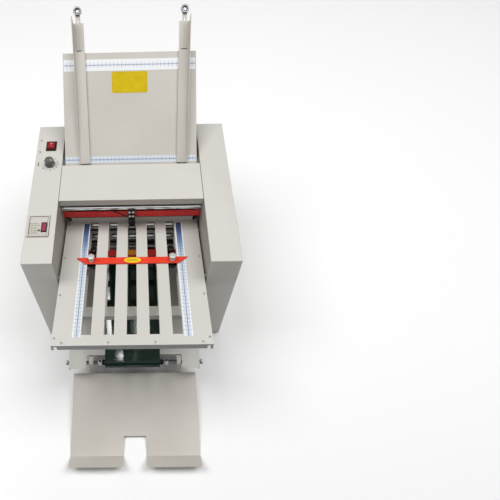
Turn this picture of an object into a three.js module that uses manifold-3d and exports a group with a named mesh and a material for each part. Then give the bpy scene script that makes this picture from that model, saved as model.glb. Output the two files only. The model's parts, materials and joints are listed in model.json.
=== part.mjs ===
// Desk paper folding machine with four fold plates, in millimetres.
// X runs from left to right as the operator stands, Y runs to the back and Z runs up.
// The machine is laid out from the front of its side boxes and from the table, and is centred at the end.
import * as THREE from "three";
import { mergeVertices } from "three/addons/utils/BufferGeometryUtils.js";
import Module from "manifold-3d";

const wasm = await Module();
wasm.setup();

// General clearances and the fineness of round faces
const fit = 0.3; // gap between pieces that touch
const overrun = 2; // how far a cut runs past the face that it opens
const fine = 24; // sides of a large round
const coarse = 12; // sides of a small round
const sheet = 1.5; // folded sheet steel

// Housing: the two side boxes and the passage between them
const housing = { passage: 177.5, box: 71, depth: 437, top: 414, skin: sheet };
const outerHalf = housing.passage + housing.box;
const foot = { height: 6, radius: 14, inset: 34 };
const pan = { thick: 2.5 };
const frame = { wall: 4, pinRadius: 4, pinLength: 12.5 };

// Fold rollers, one above the other in a zigzag, and the gears that join them
const roller = { spacing: 26, nipGap: 0.4, journal: 6, half: 168, stub: 3, y: 217, z: 309, count: 6 };
const link = { steep: -69.5, step: 60 };
const gear = { teeth: 12, width: 10, standoff: 2.5, addendum: 2.1, dedendum: 2.5 };
const tooth = { tipAngle: 3.5, pitchAngle: 6.8, rootAngle: 9 };
const feed = { radius: 16, journal: 5, sleeveHalf: 60, y: 252.4, z: 391.1 };

// Fold plates
const plate = { half: 172.5, thick: 6, gap: 3, rim: 4.5, closed: 14 };
const slot = { count: 5, spacing: 49.7, width: 22, nearMargin: 25.8, farMargin: 3, lowerFarMargin: 6 };
const upperSeat = { farY: 202.1, farZ: 293.3, length: 381.7, slope: -10.93 };
const lowerSeat = { farY: 199.9, farZ: 250.3, length: 283, slope: -10.93 };
const plateLip = { front: 11, half: 160.5, back: 17, tab: 5, tabDrop: 12 };
const rearPlate = { length: 200, entry: 12 };
const pinsFromFar = { upper: [186.7, 29.7], lower: [163, 31] };
const pinsFromNip = [45, 165];

// Stop bars on the front plates
const stopBar = { tip: 137, base: 114.5, width: 19.8, thick: 3, lift: 1.6 };
const stopFromFar = { upper: 146, lower: 87 };
const stopFinger = { thick: 4, below: 3 };
const stopScrew = { shank: 2.5, stem: 4, stemHeight: 11.5, head: 8.5, headHeight: 5 };
const stopNut = { radius: 13.5, height: 3 };

// Feed panel at the back, its support and its side guides
const panel = { y: 300.9, z: 407.7, slope: 37.1, up: 281.7, down: 58, half: 170, flange: 22 };
const panelLip = { midY: 241, midZ: 345, endY: 236.5, endZ: 303 };
const support = { fromBack: 45, thick: 2, bottom: 330, shoulder: 405, neck: 165 };
const guide = { width: 27, thick: sheet, lift: 0.9, low: 6, high: 35, start: 1, length: 354, splay: 1.65 };
const guideCap = 284; // how far the double part of the guide reaches
const guideAt = { left: -118, right: 131.3 };
const guideHook = { beyond: 2.5, thick: 1.5, drop: 7, width: 14 };
const extension = { width: 12, thick: 1.5, start: 150, end: 376.5 };
const ring = { outer: 10.8, inner: 6.5, height: 8 };

// Top cover and what lies under its front edge
const cover = { front: 177.5, back: 292.5, half: 176.2, lip: 20.3, ear: 10, pivotY: 288.5, pivotZ: 408 };
const coverPin = { radius: 2.5, reach: 4.3 };
const frontBar = { radius: 6, y: 190, z: 368 };
const rearBar = { radius: 5, y: 186, z: 192 };
const redBar = { y: 198, thick: 3, bottom: 317, top: 340 };
const sensor = { half: 8.5, wall: 9, armFront: 178.5, armBack: 183.5, eyeFront: 176, eyeBack: 189 };
const sensorZ = { bottom: 305, eyeTop: 330, armTop: 366, clampLow: 357, clampHigh: 379, leadHeight: 340 };
const lead = { radius: 1.5, sides: 8, steps: 50 };

// Delivery conveyor and catch tray
const conveyor = { y: -115, z: 85, run: 284, slope: 10, rollerRadius: 12.6 };
const deliveryBelt = { thick: 1.2, half: 73, centre: -4 };
const rollerHub = { radius: 7, length: 8 };
const rod = { radius: 5, nut: 7, nutLength: 4.8, half: 182 };
const collar = { at: 88.6, shift: -2.4, width: 9, radius: 8, screw: 3, screwReach: 13 };
const deck = { half: 173.5, top: 11.9, ear: 18, earInner: 127, corner: 8, front: 17.5, rear: 262 };
const deckFlange = { bottom: 12, back: 12 };
const conveyorShaft = 5;
const tray = { half: 167, thick: 1.5, backY: -129, backZ: 36.3, bendY: -334, lipY: -365, lipZ: 39 };
const trayNotch = { half: 29.5, endY: -287, corner: 4 };
const trayCorner = 9;
const strap = { at: 117.3, shift: 2.2, width: 11.5, thick: 2.5, footY: -127, kneeZ: 62, tail: 17, tip: 4 };

// Drive behind the side covers
const motor = { y: 300, z: 56, radius: 38, left: 40, right: 165, footHalf: 30, boss: 12, bossLength: 4 };
const motorPulley = { radius: 24, journal: 5 };
const mainPulley = { radius: 24, hub: 10, standoff: 8, width: 12 };
const smallPulley = { feedDrive: 12, feedDriven: 16, conveyorDrive: 11, conveyorDriven: 15 };
const smallPulleyAt = { width: 8, standoff: 6 };
const belt = { thick: 1.6, inset: 1 };

// Controls on the left box and the inlet at the back of the right box
const rocker = { out: 32.8, fromBack: 76, frameX: 27, frameY: 33, frameUp: 2.5, bodyDown: 19, wall: 2.2 };
const rockerTip = { radius: 11.8, pivotDrop: 2.4, crown: 35, skirt: -30, valley: 4.8, rest: -8 };
const knob = { out: 31.1, fromBack: 139.7, radius: 13, height: 19, taper: 1, shaft: 3, shaftDown: 16 };
const board = { halfX: 24, front: 30, back: 88, thick: 2, drop: 40, pot: 10, bushing: 5 };
const bezel = { out: 40, y: 102.5, sizeX: 50, sizeY: 60, up: 3, down: 18, edge: 3, recess: 1.2 };
const key = { radius: 2.5, dx: 2.5, dy: -13, up: 1, depth: 7, travel: 2.5 };
const inlet = { out: 35.5, z: 60, flangeX: 48, flangeZ: 28, flangeY: 3, bodyX: 28, bodyZ: 21, bodyY: 20 };
const inletRecess = { sizeX: 24, sizeZ: 17, depth: 16 };
const inletPin = { sizeX: 2, sizeY: 13, sizeZ: 4, spacing: 7, raise: 3.5 };

// Finishes
const finish = (color, roughness, metalness = 0) =>
  new THREE.MeshStandardMaterial({ color, roughness, metalness });
const paint = finish("#d3cfc6", 0.5);
const paintDark = finish("#bfbab1", 0.55);
const steel = finish("#b9bbbd", 0.35, 0.9);
const chrome = finish("#d8dadc", 0.12, 1);
const rubber = finish("#2b2a2a", 0.8);
const red = finish("#e2402a", 0.45);
const darkRed = finish("#a3262a", 0.45);
const black = finish("#1d1c1c", 0.5);
const greenBelt = finish("#10302c", 0.2);
const nylon = finish("#e6e2d6", 0.6);
const keyGrey = finish("#8b8986", 0.5);

// Joining and cutting
function toSolid(geometry) {
  const bare = geometry.clone();
  bare.deleteAttribute("normal");
  bare.deleteAttribute("uv");
  const merged = mergeVertices(bare);
  const index = merged.index.array;
  const kept = [];
  for (let i = 0; i < index.length; i += 3) {
    const [a, b, c] = [index[i], index[i + 1], index[i + 2]];
    if (a !== b && b !== c && c !== a) kept.push(a, b, c);
  }
  const vertProperties = new Float32Array(merged.attributes.position.array);
  const triVerts = new Uint32Array(kept);
  return new wasm.Manifold(new wasm.Mesh({ numProp: 3, vertProperties, triVerts }));
}

const join = (...solids) => solids.flat().reduce((all, one) => all.add(one));
const cut = (solid, ...tools) => tools.flat().reduce((left, tool) => left.subtract(tool), solid);

function toGeometry(solid) {
  const mesh = solid.getMesh();
  const geometry = new THREE.BufferGeometry();
  const position = new THREE.BufferAttribute(new Float32Array(mesh.vertProperties), 3);
  geometry.setAttribute("position", position);
  geometry.setIndex(new THREE.BufferAttribute(mesh.triVerts, 1));
  geometry.computeVertexNormals();
  return geometry;
}

const machine = new THREE.Group();

function place(name, solid, material, parent = machine) {
  const mesh = new THREE.Mesh(toGeometry(solid), material);
  mesh.name = name;
  parent.add(mesh);
  return mesh;
}

// Basic shapes, each placed by its real corners or ends
function block([x0, x1], [y0, y1], [z0, z1]) {
  const geometry = new THREE.BoxGeometry(x1 - x0, y1 - y0, z1 - z0);
  return toSolid(geometry.translate((x0 + x1) / 2, (y0 + y1) / 2, (z0 + z1) / 2));
}

const shapeOf = (points) => new THREE.Shape(points.map(([a, b]) => new THREE.Vector2(a, b)));
const flat = { bevelEnabled: false };

// An outline drawn in Y and Z, drawn out along X
function profile(points, [x0, x1], hole) {
  const shape = shapeOf(points);
  if (hole) shape.holes.push(new THREE.Path(hole.map(([a, b]) => new THREE.Vector2(a, b))));
  const geometry = new THREE.ExtrudeGeometry(shape, { ...flat, depth: x1 - x0 });
  const axes = new THREE.Matrix4().makeBasis(
    new THREE.Vector3(0, 1, 0),
    new THREE.Vector3(0, 0, 1),
    new THREE.Vector3(1, 0, 0),
  );
  return toSolid(geometry.applyMatrix4(axes).translate(x0, 0, 0));
}

// An outline drawn in X and Y, drawn out along Z
function plan(points, [z0, z1]) {
  const geometry = new THREE.ExtrudeGeometry(shapeOf(points), { ...flat, depth: z1 - z0 });
  return toSolid(geometry.translate(0, 0, z0));
}

// A shaft along X, and a post along Z
function shaft(radius, [x0, x1], [y, z], sides = coarse) {
  const geometry = new THREE.CylinderGeometry(radius, radius, x1 - x0, sides);
  return toSolid(geometry.rotateZ(Math.PI / 2).translate((x0 + x1) / 2, y, z));
}

function post(radius, [z0, z1], [x, y], sides = coarse, topRadius = radius) {
  const geometry = new THREE.CylinderGeometry(topRadius, radius, z1 - z0, sides);
  return toSolid(geometry.rotateX(Math.PI / 2).translate(x, y, (z0 + z1) / 2));
}

// A turned piece along X from stations of distance and radius
function turned(stations, [y, z], sides = fine) {
  const points = stations.map(([x, r]) => new THREE.Vector2(r, x));
  const ends = [new THREE.Vector2(0, points[0].y), ...points, new THREE.Vector2(0, points.at(-1).y)];
  const geometry = new THREE.LatheGeometry(ends, sides);
  return toSolid(geometry.rotateZ(-Math.PI / 2).translate(0, y, z));
}

const radians = THREE.MathUtils.degToRad;
const polar = ([y, z], radius, angle) => [
  y + radius * Math.cos(radians(angle)),
  z + radius * Math.sin(radians(angle)),
];

function arc(centre, radius, from, to, steps) {
  return Array.from({ length: steps + 1 }, (_, i) =>
    polar(centre, radius, from + ((to - from) * i) / steps),
  );
}

// A point in the Y and Z plane, given along and above a sloping surface
const onSlope = ({ y, z, slope }, along, above = 0) => {
  const [c, s] = [Math.cos(radians(slope)), Math.sin(radians(slope))];
  return [y + along * c - above * s, z + along * s + above * c];
};

function slopeBox(surface, [s0, s1], [t0, t1], xs) {
  const corners = [[s0, t0], [s1, t0], [s1, t1], [s0, t1]];
  return profile(corners.map(([s, t]) => onSlope(surface, s, t)), xs);
}

function slopeGroup({ y, z, slope }) {
  const group = new THREE.Group();
  group.position.set(0, y, z);
  group.rotation.x = radians(slope);
  machine.add(group);
  return group;
}

// A bent sheet: the left side of a path, and the same path set over by the sheet's thickness
function bentSheet(path, thick, xs) {
  const normals = path.slice(1).map(([y, z], i) => {
    const [dy, dz] = [y - path[i][0], z - path[i][1]];
    const length = Math.hypot(dy, dz);
    return [-dz / length, dy / length];
  });
  const far = path.map(([y, z], i) => {
    const a = normals[Math.max(i - 1, 0)];
    const b = normals[Math.min(i, normals.length - 1)];
    const spread = 1 + a[0] * b[0] + a[1] * b[1];
    return [y + (thick * (a[0] + b[0])) / spread, z + (thick * (a[1] + b[1])) / spread];
  });
  return profile([...path, ...far.reverse()], xs);
}

// The outline of a belt round two pulleys
function loopOutline(first, r1, second, r2, steps = coarse) {
  const [dy, dz] = [second[0] - first[0], second[1] - first[1]];
  const heading = THREE.MathUtils.radToDeg(Math.atan2(dz, dy));
  const lean = THREE.MathUtils.radToDeg(Math.acos((r1 - r2) / Math.hypot(dy, dz)));
  return [
    ...arc(first, r1, heading + lean, heading + 360 - lean, steps),
    ...arc(second, r2, heading - lean, heading + lean, steps),
  ];
}

function beltLoop(first, r1, second, r2, thick, xs) {
  const outer = loopOutline(first, r1 + fit + thick, second, r2 + fit + thick);
  return profile(outer, xs, loopOutline(first, r1 + fit, second, r2 + fit));
}

const halfTurn = 180;
const quarterTurn = 90;
const mirrorX = ([x0, x1]) => [-x1, -x0];
const sideways = (side, xs) => (side > 0 ? xs : mirrorX(xs));
const both = (half) => [-half, half];
const centred = (at, size) => [at - size / 2, at + size / 2];

// Places that several pieces share
const panTop = foot.height + pan.thick;
const frameFace = [housing.passage, housing.passage + frame.wall];
const rollerCentres = [[roller.y, roller.z]];
for (let i = 1; i < roller.count; i += 1) {
  const heading = i % 2 ? link.steep : link.steep - link.step;
  rollerCentres.push(polar(rollerCentres[i - 1], roller.spacing, heading));
}
const plateSurface = (seat) => {
  const [y, z] = onSlope({ y: seat.farY, z: seat.farZ, slope: seat.slope }, -seat.length);
  return { ...seat, y, z };
};
const upperPlate = plateSurface(upperSeat);
const lowerPlate = plateSurface(lowerSeat);
const feedCentre = [feed.y, feed.z];
const rockerAt = [-housing.passage - rocker.out, housing.depth - rocker.fromBack];
const knobAt = [-housing.passage - knob.out, housing.depth - knob.fromBack];
const bezelAt = [-housing.passage - bezel.out, bezel.y];
const inletX = housing.passage + inlet.out;
const supportY = housing.depth - support.fromBack;
const conveyorRear = onSlope(conveyor, conveyor.run);
const motorCentre = [motor.y, motor.z];
const gearStart = frameFace[1] + gear.standoff;
const gearFace = [gearStart, gearStart + gear.width];
const pulleyStart = gearFace[1] + mainPulley.standoff;
const pulleyFace = [pulleyStart, pulleyStart + mainPulley.width];
const leftPulleyStart = frameFace[1] + smallPulleyAt.standoff;
const leftPulleyFace = mirrorX([leftPulleyStart, leftPulleyStart + smallPulleyAt.width]);
const inset = ([x0, x1]) => [x0 + belt.inset, x1 - belt.inset];

// Each rear plate starts behind its nip and runs down to the back, square to the line of centres
const rearSlope = link.steep - link.step + quarterTurn;
const rearSurfaces = [1, 3].map((i) => {
  const nip = polar(rollerCentres[i], roller.spacing / 2, link.steep - link.step);
  const [y, z] = polar(nip, rearPlate.entry, rearSlope);
  return { y, z, slope: rearSlope };
});

// Base, feet and frame plates
function makeBase() {
  const inner = housing.skin + fit;
  const x = both(outerHalf - inner);
  place("base_pan", block(x, [inner, housing.depth - inner], [foot.height, panTop]), paintDark);
  const footX = outerHalf - foot.inset;
  const corners = {
    foot_front_left: [-footX, foot.inset],
    foot_front_right: [footX, foot.inset],
    foot_back_left: [-footX, housing.depth - foot.inset],
    foot_back_right: [footX, housing.depth - foot.inset],
  };
  for (const [name, at] of Object.entries(corners)) {
    place(name, post(foot.radius, [0, foot.height - fit], at, coarse), rubber);
  }
}

const fromFar = (surface, distances) => distances.map((d) => surface.length - d);

// The pins that carry a fold plate, just under it
function plateRests(surface, places, under) {
  return places.map((s) => onSlope(surface, s, -under - fit - frame.pinRadius));
}

function makeFramePlates() {
  const y = [housing.skin + fit, housing.depth - housing.skin - fit];
  const z = [panTop + fit, housing.top - housing.skin - fit];
  const rests = [
    ...plateRests(upperPlate, fromFar(upperPlate, pinsFromFar.upper), plate.thick),
    ...plateRests(lowerPlate, fromFar(lowerPlate, pinsFromFar.lower), plate.thick),
    ...rearSurfaces.flatMap((surface) => plateRests(surface, pinsFromNip, plate.thick / 2)),
  ];
  const drill = [housing.passage - overrun, frameFace[1] + overrun];
  for (const [name, side] of [["left_frame_plate", -1], ["right_frame_plate", 1]]) {
    const through = sideways(side, drill);
    const pins = rests.map((at) => {
      const reach = [housing.passage - frame.pinLength, housing.passage + overrun];
      return shaft(frame.pinRadius, sideways(side, reach), at);
    });
    const holes = [
      ...rollerCentres.map((at) => shaft(roller.journal + fit, through, at)),
      shaft(feed.journal + fit, through, feedCentre),
      shaft(frontBar.radius + fit, through, [frontBar.y, frontBar.z]),
      shaft(rearBar.radius + fit, through, [rearBar.y, rearBar.z]),
      shaft(conveyorShaft + fit, through, conveyorRear),
      shaft(motor.boss + fit, through, motorCentre),
      shaft(coverPin.radius + fit, through, [cover.pivotY, cover.pivotZ]),
    ];
    place(name, cut(join(block(sideways(side, frameFace), y, z), pins), holes), paint);
  }
}

// Side covers: folded shells, open towards the frame plate and below
function coverShell(side) {
  const { passage, depth, top, skin } = housing;
  const shell = block(sideways(side, [passage, outerHalf]), [0, depth], [foot.height, top]);
  const hollowX = sideways(side, [passage - overrun, outerHalf - skin]);
  return cut(shell, block(hollowX, [skin, depth - skin], [foot.height - overrun, top - skin]));
}

function makeSideCovers() {
  const through = [housing.top - housing.skin - overrun, housing.top + overrun];
  const opening = ([x, y], sizeX, sizeY) =>
    block([x - sizeX / 2, x + sizeX / 2], [y - sizeY / 2, y + sizeY / 2], through);
  const switchGap = fit * 2 - rocker.wall * 2;
  const bezelGap = fit * 2 - bezel.edge * 2;
  const left = cut(
    coverShell(-1),
    opening(rockerAt, rocker.frameX + switchGap, rocker.frameY + switchGap),
    opening(bezelAt, bezel.sizeX + bezelGap, bezel.sizeY + bezelGap),
    post(knob.shaft + fit * 2, through, knobAt),
  );
  place("left_cover", left, paint);
  const inletHole = block(
    [inletX - inlet.bodyX / 2 - fit, inletX + inlet.bodyX / 2 + fit],
    [housing.depth - housing.skin - overrun, housing.depth + overrun],
    [inlet.z - inlet.bodyZ / 2 - fit, inlet.z + inlet.bodyZ / 2 + fit],
  );
  place("right_cover", cut(coverShell(1), inletHole), paint);
}

// Bars that tie the frame plates together
function makeBars() {
  const reach = both(frameFace[1] - fit);
  place("front_tie_bar", shaft(frontBar.radius, reach, [frontBar.y, frontBar.z], fine), chrome);
  place("rear_tie_bar", shaft(rearBar.radius, reach, [rearBar.y, rearBar.z]), chrome);
  const between = both(housing.passage - fit);
  const faces = [redBar.y, redBar.y + redBar.thick];
  place("red_guide_bar", block(between, faces, [redBar.bottom, redBar.top]), darkRed);
}

// Top cover, which lifts on two pins near its back edge
function makeTopCover() {
  const { front, back, half, lip, ear } = cover;
  const skin = housing.skin;
  const under = housing.top - skin;
  const top = block(both(half), [front, back], [under, housing.top]);
  const edge = block(both(half), [front, front + skin], [housing.top - lip, housing.top]);
  const pivot = [cover.pivotY, cover.pivotZ];
  const sides = [-1, 1].flatMap((side) => [
    block(sideways(side, [half - skin, half]), [front, back], [under - ear, housing.top]),
    shaft(coverPin.radius, sideways(side, [half - skin, half + coverPin.reach]), pivot),
  ]);
  place("top_cover", join(top, edge, sides), paint);
}

// Fold plates: two sheets with a gap between them, slotted for the stop's fingers
const slotCentres = Array.from(
  { length: slot.count },
  (_, i) => (i - (slot.count - 1) / 2) * slot.spacing,
);

function slotted(surface, length, [bottom, top], farMargin) {
  const middle = (bottom + top) / 2;
  const along = [slot.nearMargin, length - farMargin];
  const deep = [bottom - overrun, top + overrun];
  const slots = slotCentres.map((x) =>
    slopeBox(surface, along, deep, [x - slot.width / 2, x + slot.width / 2]),
  );
  const gap = [middle - plate.gap / 2, middle + plate.gap / 2];
  const hollow = slopeBox(surface, [plate.closed, length + overrun], gap, both(plate.half - plate.rim));
  const body = slopeBox(surface, [0, length], [bottom, top], both(plate.half));
  return cut(body, hollow, slots);
}

function frontLips(surface) {
  const drop = [-plate.thick - plateLip.front, -plate.thick / 2];
  const tabDrop = [-plate.thick - plateLip.tabDrop, -plate.thick / 2];
  const skin = [0, sheet];
  const tabs = [-1, 1].map((side) =>
    slopeBox(surface, skin, tabDrop, sideways(side, [plate.half - plateLip.tab, plate.half])),
  );
  return [slopeBox(surface, skin, drop, both(plateLip.half)), ...tabs];
}

function makeFoldPlates() {
  const depth = [-plate.thick, 0];
  const [farY, farZ] = onSlope(upperPlate, upperPlate.length);
  const backLipZ = [farZ - sheet, farZ + plateLip.back];
  const backLip = block(both(plateLip.half), [farY - sheet, farY], backLipZ);
  const upper = slotted(upperPlate, upperPlate.length, depth, slot.farMargin);
  place("upper_front_plate", join(upper, frontLips(upperPlate), backLip), paint);
  const lower = slotted(lowerPlate, lowerPlate.length, depth, slot.lowerFarMargin);
  place("lower_front_plate", join(lower, frontLips(lowerPlate)), paint);
  const half = [-plate.thick / 2, plate.thick / 2];
  ["upper_rear_plate", "lower_rear_plate"].forEach((name, i) => {
    const surface = rearSurfaces[i];
    const gap = both(plate.gap / 2);
    const body = slopeBox(surface, [0, rearPlate.length], half, both(plate.half));
    const open = [-overrun, rearPlate.length - plate.closed];
    const hollow = slopeBox(surface, open, gap, both(plate.half - plate.rim));
    const along = [slot.nearMargin, rearPlate.length - slot.nearMargin];
    const deep = [half[0] - overrun, half[1] + overrun];
    const slots = slotCentres.map((x) =>
      slopeBox(surface, along, deep, [x - slot.width / 2, x + slot.width / 2]),
    );
    place(name, cut(body, hollow, slots), paint);
  });
}

// Stop bars: a pointed bar across the plate with fingers down through the middle slots
function stopBarSolid(at, screwHoles) {
  const { tip, base, width, thick, lift } = stopBar;
  const [near, far] = [at - width / 2, at + width / 2];
  const outline = [[-base, near], [base, near], [tip, far], [-tip, far]];
  const bar = plan(outline, [lift, lift + thick]);
  const fingers = slotCentres.slice(1, -1).map((x) =>
    block(
      [x - slot.width / 2 + fit, x + slot.width / 2 - fit],
      [at - stopFinger.thick / 2, at + stopFinger.thick / 2],
      [-plate.thick - stopFinger.below, lift + thick / 2],
    ),
  );
  const ends = [slotCentres[0], slotCentres.at(-1)];
  const holes = ends.map((x) =>
    post(stopScrew.shank + fit, [lift - overrun, lift + thick + overrun], [x, at]),
  );
  const whole = join(bar, fingers);
  return screwHoles ? cut(whole, holes) : join(whole, ends.map((x) => clampScrew(x, at)));
}

// A thumb screw with its stem, its shank and the broad nut under the plate
function clampScrew(x, at) {
  const top = stopBar.lift + stopBar.thick;
  const nutTop = -plate.thick - fit;
  const headStart = top + stopScrew.stemHeight;
  return join(
    post(stopScrew.shank, [nutTop - stopNut.height, headStart], [x, at]),
    post(stopScrew.stem, [top + fit, headStart], [x, at]),
    post(stopScrew.head, [headStart, headStart + stopScrew.headHeight], [x, at], fine),
    post(stopNut.radius, [nutTop - stopNut.height, nutTop], [x, at], fine),
  );
}

function makeStops() {
  const upper = slopeGroup(upperPlate);
  const at = upperPlate.length - stopFromFar.upper;
  place("upper_stop_bar", stopBarSolid(at, true), red, upper);
  place("stop_screw_left", clampScrew(slotCentres[0], at), chrome, upper);
  place("stop_screw_right", clampScrew(slotCentres.at(-1), at), chrome, upper);
  const lowerAt = lowerPlate.length - stopFromFar.lower;
  place("lower_stop_bar", stopBarSolid(lowerAt, false), red, slopeGroup(lowerPlate));
}

// Feed panel: a sheet that bends down into the sheet guide, with turned-down sides
function makeFeedPanel() {
  const path = [
    onSlope(panel, panel.up),
    onSlope(panel, -panel.down),
    [panelLip.midY, panelLip.midZ],
    [panelLip.endY, panelLip.endZ],
  ];
  const { half, up, flange } = panel;
  const skin = bentSheet(path, sheet, both(half));
  const flanges = [-1, 1].map((side) =>
    slopeBox(panel, [0, up], [-flange, 0], sideways(side, [half - sheet, half])),
  );
  const topEdge = slopeBox(panel, [up - sheet, up], [-flange / 2, 0], both(half));
  place("feed_panel", join(skin, flanges, topEdge), paint);
  const rise = (supportY - panel.y) * Math.tan(radians(panel.slope));
  const seat = panel.z + rise - (sheet + fit) / Math.cos(radians(panel.slope));
  const faces = [supportY, supportY + support.thick];
  const wide = block(both(housing.passage - fit), faces, [support.bottom, support.shoulder]);
  const neck = block(both(support.neck), faces, [support.bottom, seat]);
  place("feed_support", join(wide, neck), paintDark);
}

// A side guide with its outer wall and its hook, and the extension bar with a ring that slides in it
function makeGuide(name, x, side) {
  const group = slopeGroup(panel);
  const turn = new THREE.Group();
  turn.position.x = x;
  turn.rotation.z = radians(-side * guide.splay);
  group.add(turn);
  const { width, thick, lift, start, length } = guide;
  const end = start + length;
  const web = block(both(width / 2), [start, end], [lift, lift + thick]);
  const outline = [
    [start, lift],
    [end, lift],
    [end + guide.low, lift + guide.high],
    [start, lift + guide.low],
  ];
  const wall = profile(outline, sideways(side, [width / 2 - thick, width / 2]));
  const hookStart = panel.up + guideHook.beyond;
  const hook = block(
    both(guideHook.width / 2),
    [hookStart, hookStart + guideHook.thick],
    [lift - guideHook.drop, lift + thick],
  );
  const level = lift + thick + fit;
  const capBottom = level + extension.thick + fit;
  const cap = block(both(width / 2), [start, guideCap], [capBottom, capBottom + thick]);
  const inner = sideways(-side, [width / 2 - thick, width / 2]);
  const innerWall = block(inner, [start, guideCap], [lift, capBottom + thick]);
  place(name + "_side_guide", join(web, wall, hook, cap, innerWall), paint, turn);
  const run = [extension.start, extension.end];
  const bar = block(both(extension.width / 2), run, [level, level + extension.thick]);
  const ringAt = [0, extension.end + ring.inner];
  const rim = cut(
    post(ring.outer, [level, level + ring.height], ringAt, fine),
    post(ring.inner, [level - overrun, level + ring.height + overrun], ringAt, fine),
  );
  place(name + "_guide_extension", join(bar, rim), steel, turn);
}

// Fold rollers with their gears
function gearOutline(centre, first) {
  const pitchRadius = roller.spacing / 2;
  const [tip, root] = [pitchRadius + gear.addendum, pitchRadius - gear.dedendum];
  const step = (2 * halfTurn) / gear.teeth;
  return Array.from({ length: gear.teeth }, (_, i) => {
    const a = first + i * step;
    return [
      polar(centre, root, a - tooth.rootAngle),
      polar(centre, pitchRadius, a - tooth.pitchAngle),
      polar(centre, tip, a - tooth.tipAngle),
      polar(centre, tip, a + tooth.tipAngle),
      polar(centre, pitchRadius, a + tooth.pitchAngle),
      polar(centre, root, a + tooth.rootAngle),
    ];
  }).flat();
}

function pulleyDisc(radius, xs, centre) {
  return shaft(radius, xs, centre, fine);
}

function makeRollers() {
  const radius = (roller.spacing - roller.nipGap) / 2;
  const rightEnd = gearFace[1] + roller.stub;
  rollerCentres.forEach((centre, i) => {
    const number = i + 1;
    const drives = number === 4;
    const leftEnd = -frameFace[1] - roller.stub;
    const farRight = drives ? pulleyFace[1] + roller.stub : rightEnd;
    const body = turned(
      [
        [leftEnd, roller.journal],
        [-roller.half, roller.journal],
        [-roller.half, radius],
        [roller.half, radius],
        [roller.half, roller.journal],
        [farRight, roller.journal],
      ],
      centre,
    );
    const pulleys = { 1: smallPulley.feedDrive, 6: smallPulley.conveyorDrive };
    const extra = pulleys[number]
      ? [
          shaft(roller.journal, [leftPulleyFace[0], leftEnd + overrun], centre, fine),
          pulleyDisc(pulleys[number], leftPulleyFace, centre),
        ]
      : [];
    place("fold_roller_" + number, join(body, extra), rubber);
    const first = i % 2 ? link.steep + halfTurn / gear.teeth : link.steep;
    const teeth = profile(gearOutline(centre, first), gearFace);
    const hub = [gearFace[1] - overrun, pulleyFace[0] + overrun];
    const driven = [
      pulleyDisc(mainPulley.hub, hub, centre),
      pulleyDisc(mainPulley.radius, pulleyFace, centre),
    ];
    const blank = drives ? join(teeth, driven) : teeth;
    const bore = [gearFace[0] - overrun, pulleyFace[1] + overrun];
    place("roller_gear_" + number, cut(blank, shaft(roller.journal + fit, bore, centre, fine)), nylon);
  });
}

function makeFeedRoller() {
  const right = frameFace[1] + roller.stub;
  const body = turned(
    [
      [leftPulleyFace[0], smallPulley.feedDriven],
      [leftPulleyFace[1], smallPulley.feedDriven],
      [leftPulleyFace[1], feed.journal],
      [-feed.sleeveHalf, feed.journal],
      [-feed.sleeveHalf, feed.radius],
      [feed.sleeveHalf, feed.radius],
      [feed.sleeveHalf, feed.journal],
      [right, feed.journal],
    ],
    feedCentre,
  );
  place("feed_roller", body, rubber);
}

// Motor with its foot on the base pan, its pulley and the three belts
function makeDrive() {
  const can = shaft(motor.radius, [motor.left, motor.right], motorCentre, fine);
  const bossEnds = [motor.right - overrun, motor.right + motor.bossLength];
  const boss = shaft(motor.boss, bossEnds, motorCentre, fine);
  const base = block(
    [motor.left, motor.right],
    [motor.y - motor.footHalf, motor.y + motor.footHalf],
    [panTop + fit, motor.z - motor.radius / 2],
  );
  place("motor", join(can, boss, base), black);
  const shaftStart = motor.right + motor.bossLength + fit;
  const pulley = join(
    shaft(motorPulley.journal, [shaftStart, pulleyFace[1] + roller.stub], motorCentre),
    pulleyDisc(motorPulley.radius, pulleyFace, motorCentre),
  );
  place("motor_pulley", pulley, steel);
  const mainAt = rollerCentres[3];
  const drive = beltLoop(
    mainAt,
    mainPulley.radius,
    motorCentre,
    motorPulley.radius,
    belt.thick,
    inset(pulleyFace),
  );
  place("drive_belt", drive, rubber);
  const toFeed = beltLoop(
    rollerCentres[0],
    smallPulley.feedDrive,
    feedCentre,
    smallPulley.feedDriven,
    belt.thick,
    inset(leftPulleyFace),
  );
  place("feed_belt", toFeed, rubber);
  const toConveyor = beltLoop(
    rollerCentres.at(-1),
    smallPulley.conveyorDrive,
    conveyorRear,
    smallPulley.conveyorDriven,
    belt.thick,
    inset(leftPulleyFace),
  );
  place("conveyor_drive_belt", toConveyor, rubber);
}

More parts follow.
